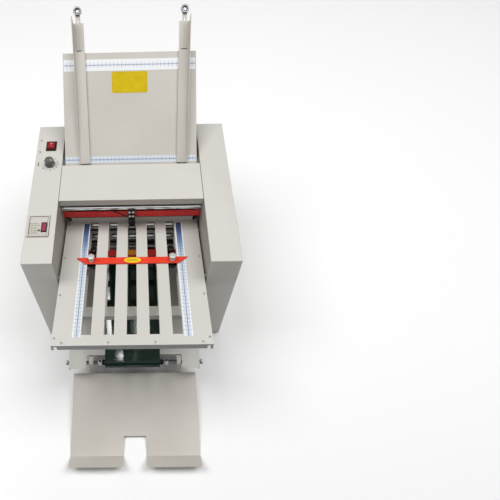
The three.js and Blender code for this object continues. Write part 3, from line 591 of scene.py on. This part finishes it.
def soften(piece, radius, segments=2, sharp=32):
    smooth(piece, sharp)
    limit = {"limit_method": "ANGLE", "angle_limit": radians(sharp), "harden_normals": True}
    return modify(piece, "BEVEL", width=radius / 1000, segments=segments, **limit)


def rounded(name, body, material, radius, segments=2):
    piece = soften(merged_copy(name), radius, segments)
    return hand_on(piece, name + "_skin", material, [name], body)


def round_bend(piece, surface):
    front = on_slope(surface, 0, 0)
    reach, shortest = 0.0006, 0.005

    def on_bend(edge):
        ends = edge.verts
        near = all(hypot(v.co.y - front.y, v.co.z - front.z) < reach for v in ends)
        return near and abs(ends[0].co.x - ends[1].co.x) > shortest

    edit(piece)
    found = pick(piece, "edges", on_bend)
    bevel_picked(1.1, 3)
    leave_edit()
    return found


# Painted shade and highlight: the lip's faces take the darker lip coat, and the faces of its bend take the
# near-white bend coat.
def coat_lip(piece, surface):
    piece.data.materials.append(painted_shade_lip_coat)
    piece.data.materials.append(painted_highlight_bend_coat)
    lip_end = on_slope(surface, 0, 1.6).y
    level, steep = 0.95, 0.3
    for face in piece.data.polygons:
        if face.center.y < lip_end and face.normal.z < level:
            face.material_index = 1 if face.normal.z < steep else 2


sheets = [
    ("top_cover", "cover", box_coat, 0.6),
    ("feed_panel", "machine", sheet_coat, 0.5),
    ("left_side_guide", "guide_left", sheet_coat, 0.4),
    ("right_side_guide", "guide_right", sheet_coat, 0.4),
    ("delivery_deck", "machine", box_coat, 0.45),
    ("catch_tray", "tray", sheet_coat, 0.45),
    ("red_guide_bar", "machine", bar_enamel, 0.5),
    ("upper_stop_bar", "upper_stop", stop_enamel, 0.5),
    ("feed_support", "machine", dark_coat, 0.5),
]
for name, body, material, radius in sheets:
    piece = rounded(name, body, material, radius)
    print(name, "faces", len(piece.data.polygons))
for name, surface in (("upper_front_plate", fold_plate), ("lower_front_plate", lower_plate)):
    piece = merged_copy(name)
    bends = round_bend(piece, surface)
    soften(piece, 0.35)
    hand_on(piece, name + "_skin", box_coat, [name])
    coat_lip(piece, surface)
    print(name, "bends", bends, "faces", len(piece.data.polygons))

# %% [markdown]
# ## Blanks for small hardware
# Small parts start as a turned or a milled blank, as in a workshop: a cylinder or a block between two
# heights. A Boolean modifier welds another part to it or cuts one out of it. A printed border or a
# gasket is a flat block with its inside cut out.


# %% Blanks
film_lift = 0.02


def round_blank(radius, low, high, sides=32):
    bpy.ops.mesh.primitive_cylinder_add(
        vertices=sides,
        radius=radius / 1000,
        depth=(high - low) / 1000,
        location=(0, 0, (low + high) / 2000),
    )
    return apply_place(bpy.context.object)


def square_blank(xs, ys, zs):
    spans = (xs, ys, zs)
    bpy.ops.mesh.primitive_cube_add(size=1, location=[sum(span) / 2000 for span in spans])
    blank = bpy.context.object
    blank.scale = [(high - low) / 1000 for low, high in spans]
    return apply_place(blank)


def centred_blank(size_x, size_y, low, high):
    half_x, half_y = size_x / 2, size_y / 2
    return square_blank((-half_x, half_x), (-half_y, half_y), (low, high))


def combine(piece, operation, *others):
    for other in others:
        modify(piece, "BOOLEAN", object=other, operation=operation, solver="EXACT")
        bpy.data.objects.remove(other)
    return piece


def stand(piece, place, turn_x=0, turn_y=0, turn_z=0):
    piece.location = place
    piece.rotation_euler = [radians(v) for v in (turn_x, turn_y, turn_z)]
    return apply_place(piece)


def tube(outer, inner, low, high):
    bar = round_blank(outer, low, high, 48)
    return combine(bar, "DIFFERENCE", round_blank(inner, low - 1, high + 1, 48))


def knurl(piece, radius, depth, sides, low=-1.0, high=1.0):
    def on_groove(vertex):
        x, y, z = vertex.co
        on_rim = hypot(x, y) >= (radius - 0.2) / 1000 and low < z < high
        return on_rim and round(atan2(y, x) / (2 * pi) * sides) % 2 == 0

    edit(piece)
    pick(piece, "verts", on_groove)
    share = 1 - depth / radius
    bpy.ops.transform.resize(value=(share, share, 1), center_override=(0, 0, 0))
    leave_edit()
    return piece


def outline(name, surface, place, size, width, thick, material):
    ring = centred_blank(*size, 0, thick)
    inside = centred_blank(size[0] - 2 * width, size[1] - 2 * width, -thick, 2 * thick)
    ring = soften(combine(ring, "DIFFERENCE", inside), thick * 0.3, 1)
    return hand_on(lay(ring, surface, *place, film_lift), name, material)


# %% [markdown]
# ## Side covers
# Each side box is one folded cover. Its outer corners have the press brake's larger radius, about 2 mm,
# so these edges are rounded first. Louvre slots in the outer side let the motor's warm air out.


# %% Side covers
def outer_edge(piece):
    low, high = (Vector(v) for v in (piece.bound_box[0], piece.bound_box[6]))
    slack, above_floor = 0.00005, 0.01

    def on_two_faces(edge):
        a, b = edge.verts[0].co, edge.verts[1].co
        count = 0
        for axis in range(3):
            for face in (low, high):
                if max(abs(a[axis] - face[axis]), abs(b[axis] - face[axis])) < slack:
                    count += 1
        return count >= 2 and max(a.z, b.z) > low.z + above_floor

    return on_two_faces


def through_the_wall(edge):
    a, b = edge.verts[0].co, edge.verts[1].co
    return abs(a.z - b.z) < 0.0001 and abs(a.x - b.x) > 0.001


def louvre_cutter(place):
    cutter = centred_blank(10, 5, -21, 21)
    edit(cutter)
    pick(cutter, "edges", through_the_wall)
    bevel_picked(2.49, 4)
    leave_edit()
    return stand(cutter, place)


side_x = 248.5
for name, side in (("left_cover", -1), ("right_cover", 1)):
    cover = merged_copy(name)
    for row in range(2):
        for number in range(7):
            louvre = louvre_cutter(at(side * side_x, 250 + number * 16, 62 + row * 58))
            combine(cover, "DIFFERENCE", louvre)
    edit(cover)
    edges = pick(cover, "edges", outer_edge(cover))
    bevel_picked(1.8, 3)
    soften(cover, 0.3, 1)
    hand_on(cover, name + "_skin", box_coat, [name])
    print(name, "rounded edges", edges, "faces", len(cover.data.polygons))

# %% [markdown]
# ## Screw heads
# The fold plate is held down by small pan head screws. One head is modelled: a disc with a rounded rim, a
# slightly domed top, and a cross recess cut with two thin bars. Its copies are joined to one piece.


# %% Screws
def recess_cutter(length, width, depth, top, turn):
    bar = centred_blank(length, width, -depth, depth)
    return stand(bar, (0, 0, top), turn_z=turn)


def screw_head(radius, height):
    top = height / 1000
    head = round_blank(radius, 0, height, 24)
    edit(head)
    pick(head, "faces", lambda f: f.calc_center_median().z > top - 0.00001)
    bevel_picked(height * 0.45, 3)
    pick(head, "faces", lambda f: f.normal.z > 0.99)
    inset_and_lift(radius * 0.25, height * 0.08)
    leave_edit()
    for turn in (0, 90):
        bar = recess_cutter(radius * 1.1, radius * 0.24, height * 0.5, top * 1.08, turn)
        combine(head, "DIFFERENCE", bar)
    smooth(head, 35)
    return head


def spread(master, name, matrices, material, stands_for=(), body="machine"):
    copies = []
    for matrix in matrices:
        one = new_object(name, master.data.copy())
        one.data.transform(matrix)
        copies.append(one)
    return hand_on(joined(copies), name, material, stands_for, body)


head = screw_head(2.6, 1.1)
spots = [(side * 166.5, along) for side in (-1, 1) for along in (17, 133, 249, 369)]
spots += [(x, 5.5) for x in (-150, -50, 50, 151)]
spread(head, "plate_screws", [on_sheet(fold_plate, *spot) for spot in spots], zinc)
box_head = screw_head(3.6, 2)
sides = []
for side in (-1, 1):
    for y, z in ((28, 40), (28, 380), (409, 40), (409, 380)):
        turn = Matrix.Rotation(side * pi / 2, 4, "Y")
        sides.append(Matrix.Translation(at(side * side_x, y, z)) @ turn)
spread(box_head, "side_cover_screws", sides, zinc)
for master in (head, box_head):
    bpy.data.objects.remove(master)
print("screws:", len(spots), "on the plate,", len(sides), "on the side covers")

# %% [markdown]
# ## Printed rulers
# The rulers are strips of white film with blue print. The print is worked out from real sizes: a division
# every millimetre, bolder ones at 5 and 10 mm, and a line along the middle. Each row of a tick table holds
# a step, a reach from the middle and a width, in mm. A millimetre is less than half a pixel here, so the
# fine divisions read as a pale tint, as on the photograph. Towards the nip the film of the plate rulers
# turns deep blue, and its two rims stay white.


# %% Ruler print
def maths(material, operation, *terms):
    numbers, sources = {"operation": operation}, {}
    for slot, term in enumerate(terms):
        (numbers if isinstance(term, (int, float)) else sources)[slot] = term
    return node(material, "Math", numbers, sources).outputs[0]


def overprint(material, share, ground, colour):
    settings = {"data_type": "RGBA", 7: linear(colour)}
    return node(material, "Mix", settings, {"Factor": share, 6: ground}).outputs[2]


def ruler_film(name, surface, middle, upright, stops, line, ticks):
    material = new_material(name, "#e6e9ec", 0.35, Specular_IOR_Level=0.35)
    settings = {
        "vector_type": "TEXTURE",
        "Location": on_slope(surface, *middle),
        "Rotation": (radians(surface["slope"]), 0, 0),
        "Scale": (0.001,) * 3,
    }
    flat = node(material, "Mapping", settings, {"Vector": object_place(material)})
    split = node(material, "SeparateXYZ", links={"Vector": flat.outputs["Vector"]})
    long_way, short_way = (split.outputs[axis] for axis in ("YX" if upright else "XY"))
    across = maths(material, "ABSOLUTE", short_way)
    inked = maths(material, "LESS_THAN", across, line / 2)
    for step, reach, width in ticks:
        share = maths(material, "MULTIPLY_ADD", long_way, 1 / step, 100 + width / step / 2)
        thin = maths(material, "LESS_THAN", maths(material, "FRACT", share), width / step)
        near = maths(material, "LESS_THAN", across, reach)
        inked = maths(material, "MAXIMUM", inked, maths(material, "MULTIPLY", thin, near))
    ground = ramp(material, remap(material, long_way, (-176, 176)), stops)
    if upright:
        rim = maths(material, "GREATER_THAN", across, 6.8)
        ground = overprint(material, rim, ground, "#e9ebee")
    to_shader(material, overprint(material, inked, ground, "#46608c"), "Base Color")
    return material


def strip(surface, x, along, size_x, size_y, thick, corner=1.5):
    tape = centred_blank(size_x, size_y, 0, thick)
    edit(tape)
    pick(tape, "edges", lambda e: abs(e.verts[0].co.z - e.verts[1].co.z) > thick / 2000)
    bevel_picked(corner, 4)
    pick_top(tape)
    bevel_picked(thick * 0.3, 1)
    leave_edit()
    return lay(tape, surface, x, along, film_lift)


# %% [markdown]
# ## Fold plate rulers
# Two rulers lie along the fold plate. Each is a thin strip with round corners, thick enough to catch a
# line of light at its rim. An image could carry the print, but nodes keep it sharp at any size.

# %% Fold plate rulers
film_thick = 0.35
blue_far = [
    (0.0, "#e6e9ec"),
    (0.5, "#dee5ea"),
    (0.68, "#cdd9e3"),
    (0.8, "#8398bb"),
    (0.9, "#4a5b82"),
    (1.0, "#2a3451"),
]
plate_ticks = [(1, 6.6, 0.2), (5, 4.6, 0.4), (10, 6.2, 0.7)]
ruler_places = {"left": (-119.5, 195.5), "right": (122, 195.5)}
for side, place in ruler_places.items():
    film_name = "printed_ruler_film_" + side
    film = ruler_film(film_name, fold_plate, place, True, blue_far, 1.2, plate_ticks)
    tape = strip(fold_plate, *place, 18.6, 351, film_thick)
    hand_on(tape, side + "_plate_ruler", film)
print("plate rulers at x", [p[0] for p in ruler_places.values()])

# %% [markdown]
# ## Ruler numbers
# The numbers count centimetres from the nip on the plate, and from the middle outwards on the feed
# sheet. Each is a text object that becomes a mesh and is then laid on the strip. A whole row is joined
# to one piece, in a blue ink.

# %% Numbers
number_size, number_lift = 3.4, 0.42
zero_along, last_number, column_x = 376.5, 34, 6.9


def printed(text, size, bold=0.0):
    bpy.ops.object.text_add()
    words = bpy.context.object
    words.data.body = text
    words.data.size = size / 1000
    words.data.align_x = "CENTER"
    words.data.align_y = "CENTER"
    words.data.resolution_u = 2
    words.data.offset = bold / 1000
    alone(words)
    bpy.ops.object.convert(target="MESH")
    return alone(bpy.context.object)


def number_row(name, surface, places):
    row = []
    for text, x, along in places:
        row.append(lay(printed(text, number_size), surface, x, along, number_lift))
    return hand_on(joined(row), name, print_blue)


for side, (x, along) in ruler_places.items():
    places = []
    for number in range(1, last_number + 1):
        for edge in (-column_x, column_x):
            places.append((str(number), x + edge, zero_along - number * 10))
    number_row(side + "_plate_ruler_numbers", fold_plate, places)
print("numbers on each plate ruler:", len(places))

# %% [markdown]
# ## Feed sheet scales
# Two scales count from the middle of the feed sheet, so that both guides can be set evenly. The same
# functions make them, with strips that lie across.

# %% Feed sheet scales
sheet_ticks = [(1, 2.1, 0.2), (5, 3.2, 0.4), (10, 4.8, 0.7)]
number_along = 6.4
for name, along, height, tone, rows in (
    ("upper", 250.5, 29, "#e6e8ea", (1, -1)),
    ("lower", 11.5, 17, "#d3dae2", (1,)),
):
    film_name, stops = "printed_scale_film_" + name, [(0, tone), (1, tone)]
    film = ruler_film(film_name, feed_sheet, (0, along), False, stops, 0.8, sheet_ticks)
    tape = strip(feed_sheet, 0, along, 336, height, film_thick)
    hand_on(tape, name + "_feed_scale", film)
    places = []
    for number in range(1, 17):
        for side in (-1, 1):
            for row in rows:
                places.append((str(number), side * number * 10, along + row * number_along))
    number_row(name + "_feed_scale_numbers", feed_sheet, places)
    print(name, "feed scale, numbers:", len(places))

# %% [markdown]
# ## Plain labels
# A yellow label is stuck on the feed sheet and a small oval one on the stop bar. Both stay plain: vinyl
# film with a soft gloss, one with a thin printed border, one with a darker middle.

# %% Labels
soft_gloss = {"Specular_IOR_Level": 0.2}
yellow_vinyl = thin_film("yellow_vinyl_label", "#cfb400", "#c6aa00", Specular_IOR_Level=0.15)
amber_vinyl = thin_film("amber_vinyl_label", "#ffd62c", "#f6c91f", 0.4, **soft_gloss)
olive_vinyl = thin_film("olive_yellow_vinyl", "#cdb228", "#c3a820", 0.4, **soft_gloss)
orange_vinyl = thin_film("orange_vinyl_label", "#cf8b2b", "#c58023", 0.4, **soft_gloss)
border_ink = thin_film("ochre_printed_border", "#a58c05", "#988104")
label_along, stop_along = 207, 235.7
oval_x, oval_lift = 1.6, 4.62
label = strip(feed_sheet, 0, label_along, 91, 54, 0.3, 3)
hand_on(label, "plain_yellow_label", yellow_vinyl)
outline("yellow_label_border", feed_sheet, (0, label_along), (85, 48), 0.7, 0.34, border_ink)
oval = round_blank(20.5, 0, film_thick, 64)
oval.scale.y = 8.75 / 20.5
edit(apply_place(oval))
pick_top(oval)
bevel_picked(0.12, 2)
leave_edit()
inner_oval = new_object("inner_oval", oval.data.copy())
inner_oval.data.transform(Matrix.Diagonal((0.76, 0.62, 1.4, 1)))
for piece, name, vinyl in (
    (oval, "stop_bar_label", amber_vinyl),
    (inner_oval, "stop_bar_label_middle", olive_vinyl),
):
    lay(piece, fold_plate, oval_x, stop_along, oval_lift)
    hand_on(piece, name, vinyl, body="upper_stop")
print("plain labels on the feed sheet and on the stop bar")

# %% [markdown]
# ## Thumb screws
# Each stop bar is clamped by two thumb screws in the outer slots of its plate. The screw has a knurled head
# with a domed top, a stem with a collar, and a broad round nut below the plate. A bump would leave the
# head's outline round, so the knurl is real: every second point of the rim is drawn in.

# %% Thumb screws
slot_x = 99.4
head_radius, head_low, head_high = 8.5, 16.1, 20.1
grip = round_blank(head_radius, head_low, head_high, 48)
edit(grip)
pick_top(grip)
inset_and_lift(1.1, 0.6)
inset_and_lift(3, 0.4)
knurl(grip, head_radius, 0.45, 48, (head_low - 0.6) / 1000, (head_high + 0.4) / 1000)
stem = combine(round_blank(4, 4.9, 16.6), "UNION", round_blank(2.5, -6.6, 16.2, 24))
collar_disc = soften(round_blank(6, 4.9, 6.1, 32), 0.3)
thumb_screw = combine(stem, "UNION", grip, collar_disc)
smooth(thumb_screw, 30)
disc = soften(round_blank(13.5, -9.3, -6.3, 48), 0.6)
nut = combine(disc, "DIFFERENCE", round_blank(2.8, -10, -6, 24))
for side, x in (("left", -slot_x), ("right", slot_x)):
    spot = [on_sheet(fold_plate, x, stop_along)]
    body, cad_screw = "screw_" + side, ["stop_screw_" + side]
    spread(nut, "thumb_nut_" + side, spot, black_oxide, body=body)
    screw = spread(thumb_screw, "thumb_screw_" + side, spot, satin_nickel, cad_screw, body)
lower_along = 196
lower_spots = [on_sheet(lower_plate, x, lower_along) for x in (-slot_x, slot_x)]
spread(thumb_screw, "lower_thumb_screws", lower_spots, black_oxide, body="lower_stop")
spread(nut, "lower_thumb_nuts", lower_spots, black_oxide, body="lower_stop")
for master in (thumb_screw, nut):
    bpy.data.objects.remove(master)
print("thumb screw faces:", len(screw.data.polygons))

# %% [markdown]
# The lower stop bar has the same shape as the upper one, so a copy of the upper bar is moved down to it.
# Its red is darker than the upper bar's: painted shade, for a bar that lies under the upper plate.

# %% Lower stop bar
lower_bar = merged_copy("upper_stop_bar")
lower_bar.location = on_slope(lower_plate, 0, lower_along) - on_slope(fold_plate, 0, stop_along)
soften(apply_place(lower_bar), 0.5)
# The darker red of this bar is painted shade.
hand_on(lower_bar, "lower_stop_bar_skin", painted_shade_lower_enamel, ["lower_stop_bar"], "lower_stop")
lower_label = strip(lower_plate, 1, lower_along, 42, 17, 0.3, 8)
lower_label.location += on_slope(lower_plate, 0, 0, 4.6) - on_slope(lower_plate, 0, 0)
hand_on(lower_label, "lower_stop_bar_label", orange_vinyl, body="lower_stop")
print("lower stop bar at", [round(v, 3) for v in lower_bar.bound_box[0]])

# %% [markdown]
# ## Count sensor
# A clear acrylic clip grips the chrome bar from below, so the bar's white line runs past it. Under it
# hang a black arm with two pan head screws and the eye, whose lens looks down at the paper. The arm is
# welded from three blocks, each with its own radius at the edges.

# %% Count sensor
see_through = {"Transmission_Weight": 0.95, "IOR": 1.49}
acrylic = moulded("clear_acrylic", "#eef5f1", "#e6f0ea", 0.08, 600, 0.00001, **see_through)
clip = centred_blank(17, 21, -11, 1.5)
bore = stand(round_blank(6.3, -12, 12, 48), (0, 0, 0), turn_y=90)
slit = centred_blank(18, 1.2, -12, 0)
combine(clip, "DIFFERENCE", bore, slit)
soften(clip, 0.8)
hand_on(stand(clip, at(0, 190, 368)), "sensor_clip", acrylic)
arm = square_blank((-8.5, 8.5), (178.5, 183.5), (305, 366))
combine(arm, "DIFFERENCE", square_blank((-4.5, 4.5), (177, 185), (333, 338)))
eye_body = square_blank((-8.5, 8.5), (176, 189), (305, 330))
rib = square_blank((-6.5, 6.5), (175.4, 177), (309, 322))
arm = combine(soften(arm, 0.7), "UNION", soften(eye_body, 1.2, 3), soften(rib, 0.4))
hand_on(stand(arm, at(0, 0, 0)), "sensor_block_skin", black_abs, ["sensor_block"])
pan_head = screw_head(3.2, 1.6)
turn = Matrix.Rotation(pi / 2, 4, "X")
for name, xs, z, material in (
    ("sensor_screws", (-4.3, 3.4), 344.5, nylon),
    ("sensor_clip_screws", (-4.8, 4.4), 361.5, satin_chrome),
):
    heads = [Matrix.Translation(at(x, 178.5, z)) @ turn for x in xs]
    spread(pan_head, name, heads, material)
bpy.data.objects.remove(pan_head)
lens = soften(round_blank(3.2, -1.4, 0.4, 32), 0.4)
hand_on(stand(lens, at(0, 182.5, 305)), "sensor_lens", lens_red)
print("sensor pieces made, arm faces:", len(arm.data.polygons))

# %% [markdown]
# ## Power switch
# The rocker's frame and the rocker keep their CAD shape with softened edges. The rocker is clear red
# polycarbonate with a white I and O printed on its two halves, the usual marks for on and off.

# %% Power switch
rounded("switch_frame", "machine", switch_abs, 0.6, 3)
rounded("power_rocker", "rocker", rocker_red, 0.5, 3)
rocker_far = {"y": 366.2, "z": 419.45, "slope": 3.6}
rocker_near = {"y": 357, "z": 420.85, "slope": -19.5}
rocker_x = sum(corner.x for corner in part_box("power_rocker")) * 500
rocker_marks = []
for mark, half in (("O", rocker_far), ("I", rocker_near)):
    rocker_marks.append(lay(printed(mark, 5.5, 0.12), half, rocker_x, 0, 0.05))
hand_on(joined(rocker_marks), "rocker_marks", white_ink, body="rocker")
print("rocker marks:", len(rocker_marks))

# %% [markdown]
# ## Speed knob and its dial
# The knob is moulded in dark grey ABS: a skirt, a body with grip ribs and a slightly dished top. A white
# line on it points at the dial printed on the side box, numbered from 0 to 10 clockwise.

# %% Speed knob
knob_x, knob_y = -208.6, 297.3
knob_place = at(knob_x, knob_y, box_top + 0.6)
pointer_angle = 333
body_top, knob_top = 18.2, 19
body = knurl(round_blank(11.4, 3, body_top, 48), 11.4, 0.9, 48)
edit(body)
pick(body, "verts", lambda v: v.co.z > (body_top - 0.2) / 1000)
bpy.ops.transform.resize(value=(0.95, 0.95, 1), center_override=(0, 0, 0))
pick_top(body)
inset_and_lift(1.4, knob_top - body_top)
inset_and_lift(1.2)
inset_and_lift(3, -0.5)
leave_edit()
skirt = soften(round_blank(13, 0, 3.6, 48), 0.8, 3)
grip_knob = combine(skirt, "UNION", body)
smooth(grip_knob, 28)
stand(grip_knob, knob_place)
hand_on(grip_knob, "speed_knob_skin", grey_abs, ["speed_knob"], "knob")
top_line = square_blank((3, 9.6), (-0.7, 0.7), (18.6, 19.3))
skirt_line = square_blank((10.6, 12.9), (-1.1, 1.1), (3, 3.9))
pointer = combine(soften(top_line, 0.2), "UNION", soften(skirt_line, 0.2))
stand(pointer, knob_place, turn_z=pointer_angle)
hand_on(pointer, "knob_pointer", white_ink, body="knob")
print("knob faces:", len(grip_knob.data.polygons))

# %% [markdown]
# The dial's ticks and numbers stand round the knob in equal steps, so a loop places them. Thin blocks and
# flat text do for ink, and joined they are one printed piece.

# %% Dial
first_angle, angle_step, number_radius = 144, 28.5, 20.8
dial = []
for number in range(11):
    degrees = first_angle - angle_step * number
    tick = square_blank((14.6, 17.2), (-0.4, 0.4), (0, 0.12))
    dial.append(stand(tick, at(knob_x, knob_y, box_top), turn_z=degrees))
    x = knob_x + number_radius * cos(radians(degrees))
    y = knob_y + number_radius * sin(radians(degrees))
    dial.append(lay(printed(str(number), 5.4, 0.22), cover_top, x, y, 0.06))
for word, y in (("ON", 383.4), ("OFF", 341.7), ("SPEED", 299)):
    dial.append(lay(printed(word, 4.8, 0.2), cover_top, -238.5, y, 0.06, 90))
hand_on(joined(dial), "printed_dial", mark_ink)
print("dial pieces joined:", len(dial))

# %% [markdown]
# ## Counter
# The counter is a shallow frame on the side box. On its sunk face lie a pale keypad film with six printed
# fields, a red window with the display behind it, one real key and a small lamp. Thin grey seals run
# round the frame and round its recess. All are real plates, since a print would have no edges to shine.

# %% Counter
rounded("counter_bezel", "machine", sheet_coat, 0.6)
rounded("counter_key", "key", key_green, 0.4)
counter_floor = {"y": 0, "z": 416.1, "slope": 0}
bezel_low, bezel_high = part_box("counter_bezel")
bezel_x = (bezel_low.x + bezel_high.x) * 500
bezel_y = ((bezel_low.y + bezel_high.y) / 2 - front_face) * 1000
gasket_rubber = moulded("grey_gasket_rubber", "#5f5d59", "#54524f", 0.7, 500)
bezel = (bezel_x, bezel_y)
outline("counter_gasket", cover_top, bezel, (52, 62), 1.3, 0.6, gasket_rubber)
outline("counter_recess_seal", counter_floor, bezel, (43.8, 53.8), 1.1, 0.5, gasket_rubber)
for name, material, *sizes in (
    ("keypad_border", mark_ink, -228.2, 96, 20, 28.6, 0.25, 0.8),
    ("keypad_film", pad_film, -228.2, 96, 18.8, 26.4, 0.45, 0.8),
    ("display_frame", switch_abs, -204, 98.1, 13.4, 28, 0.9, 0.8),
    ("display_window", lens_red, -204, 98.6, 8.6, 21.5, 1.3, 1.2),
):
    hand_on(strip(counter_floor, *sizes), name, material)
key_pitch = 7.6
fields = []
for column in range(2):
    for row in range(3):
        x, y = -232 + column * key_pitch, 88.5 + row * key_pitch
        fields.append(strip(counter_floor, x, y, 5.6, 5, 0.55, 0.6))
field_film = thin_film("olive_key_field", "#a3a08c", "#989582", 0.4)
hand_on(joined(fields), "keypad_fields", field_film)
lamp_cap = soften(round_blank(1.6, 0, 1, 24), 0.4, 3)
stand(lamp_cap, at(-215, 103.5, counter_floor["z"]))
teal_lens = moulded("teal_lamp_lens", "#8fb0aa", "#84a59f", 0.2)
hand_on(lamp_cap, "counter_lamp", teal_lens)
print("counter pieces:", 4 + len(fields))

# %% [markdown]
# ## Guide extension bars
# A flat bar with a long slot slides out of each side guide, and ends in a steel ring, which a finger pulls.
# A black block where the bar goes under the guide's web is painted shade for the dark gap there, and a
# black lining in the ring is painted shade for its dark inside. The guides are splayed a little, so the
# bars turn with them. Slots and bores are cut by Booleans, as a mill and a drill would.

# %% Guide extension bars
bar_height = 2.7
ring_place = Vector((0, 0.383, 0))


def on_guide(piece, side, name, body, material, stands_for=()):
    x, turn = {"left": (-118, 1.65), "right": (131.3, -1.65)}[side]
    lay(piece, feed_sheet, x, 0, 0, turn)
    hand_on(piece, f"{side}_{name}", material, stands_for, f"{body}_{side}")


for side in ("left", "right"):
    bar = square_blank((-6, 6), (150, 377.5), (bar_height, bar_height + 1.5))
    groove = square_blank((-1.5, 1.5), (170, 362), (bar_height - 1, bar_height + 3))
    soften(combine(bar, "DIFFERENCE", groove), 0.25)
    on_guide(bar, side, "guide_extension_bar", "extension", sheet_coat, [side + "_guide_extension"])
    pull = knurl(round_blank(10.8, bar_height, bar_height + 8, 48), 10.8, 0.35, 48)
    combine(pull, "DIFFERENCE", round_blank(6.5, bar_height - 1, bar_height + 9, 48))
    stand(soften(pull, 0.5, 2), ring_place)
    on_guide(pull, side, "guide_ring", "extension", ring_steel)
    # A black lining inside the ring: painted shade for the ring's dark inside.
    painted_shade_lining = soften(tube(6.6, 4.6, bar_height + 0.2, bar_height + 6.5), 0.3)
    on_guide(stand(painted_shade_lining, ring_place), side, "painted_shade_ring_lining", "extension", black_abs)
    # A black block at the end of the guide's web: painted shade for the gap where the bar goes under it.
    painted_shade_block = soften(square_blank((-6.8, 6.8), (284.2, 286.2), (4.35, 6.3)), 0.3)
    on_guide(painted_shade_block, side, "painted_shade_guide_block", "guide", black_abs)
print("extension bars with rings:", 2)

# %% [markdown]
# ## Rollers, shafts and drive
# Fold rollers of ground steel and of black rubber take turns, so that each nip has one of either kind.
# All keep their CAD shape with the turned edges broken by a small chamfer, as on a lathe. The gears, the
# pulleys and the frame's inner sheets are treated alike.

# %% Rollers and drive
for number in range(1, 7):
    surface = ground_steel if number % 2 else rubber
    rounded(f"fold_roller_{number}", f"roller_{number}", surface, 0.3, 1)
    rounded(f"roller_gear_{number}", f"roller_{number}", nylon, 0.25, 1)
turned_parts = [
    ("feed_roller", "feed_drum", rubber),
    ("motor_pulley", "motor_shaft", shaft_steel),
    ("conveyor_front_roller", "belt_roller_front", black_abs),
    ("conveyor_rear_roller", "belt_roller_rear", shaft_steel),
    ("motor", "machine", motor_paint),
    ("left_frame_plate", "machine", dark_coat),
    ("right_frame_plate", "machine", dark_coat),
    ("base_pan", "machine", dark_coat),
    ("upper_rear_plate", "machine", dark_coat),
    ("lower_rear_plate", "machine", dark_coat),
    ("power_inlet", "machine", black_abs),
]
for name, body, material in turned_parts:
    piece = rounded(name, body, material, 0.3, 1)
    print(name, "faces", len(piece.data.polygons))

# %% [markdown]
# ## Cross rod
# The rod through the deck's front ears carries the belt roller and the tray. It ends in two hex nuts,
# and two collars with set screws keep the belt roller in the middle.

# %% Cross rod
rod_y, rod_z = -115, 85
rod = soften(round_blank(5, -182, 182, 32), 0.6)
nuts = []
for side in (-1, 1):
    nut_x = side * 179.6
    nuts.append(soften(round_blank(7, nut_x - 2.4, nut_x + 2.4, 6), 0.4))
combine(rod, "UNION", *nuts)
stand(rod, at(0, rod_y, rod_z), turn_y=90)
hand_on(rod, "cross_rod_skin", shaft_steel, ["cross_rod"])
for name, x in (("left", -91), ("right", 86.2)):
    collar = soften(tube(8, 5, -4.5, 4.5), 0.7)
    stand(collar, at(x, rod_y, rod_z), turn_y=90)
    hand_on(collar, name + "_collar", satin_chrome)
    for end, turn in (("upper", 0), ("lower", 180)):
        set_screw = combine(round_blank(3, 6, 13, 24), "DIFFERENCE", round_blank(1.6, 11, 14, 6))
        stand(soften(set_screw, 0.35), at(x, rod_y, rod_z), turn_x=turn)
        hand_on(set_screw, f"{name}_collar_{end}_screw", black_oxide)
print("cross rod with two nuts and two collars")

# %% [markdown]
# ## Feet
# Four turned rubber feet stand under the base pan, each with a broken rim, a groove around its side and a
# sunk steel screw in its middle.

# %% Feet
for name in feet:
    low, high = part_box(name)
    height = (high.z - low.z) * 1000
    foot = soften(round_blank(14, 0, height, 48), 0.9, 3)
    combine(foot, "DIFFERENCE", tube(16, 13.3, 3.4, 4.2), soften(round_blank(6, -1, 2.6), 0.3))
    centre = (low + high) / 2
    stand(foot, Vector((centre.x, centre.y, low.z)))
    hand_on(foot, name + "_skin", foot_rubber, [name])
    washer_head = screw_head(4, 1.6)
    spot = Matrix.Translation((centre.x, centre.y, low.z + 0.0027))
    turned = spot @ Matrix.Rotation(pi, 4, "X")
    spread(washer_head, name + "_screw", [turned], zinc)
    bpy.data.objects.remove(washer_head)
print("feet, height in mm:", round(height, 2))
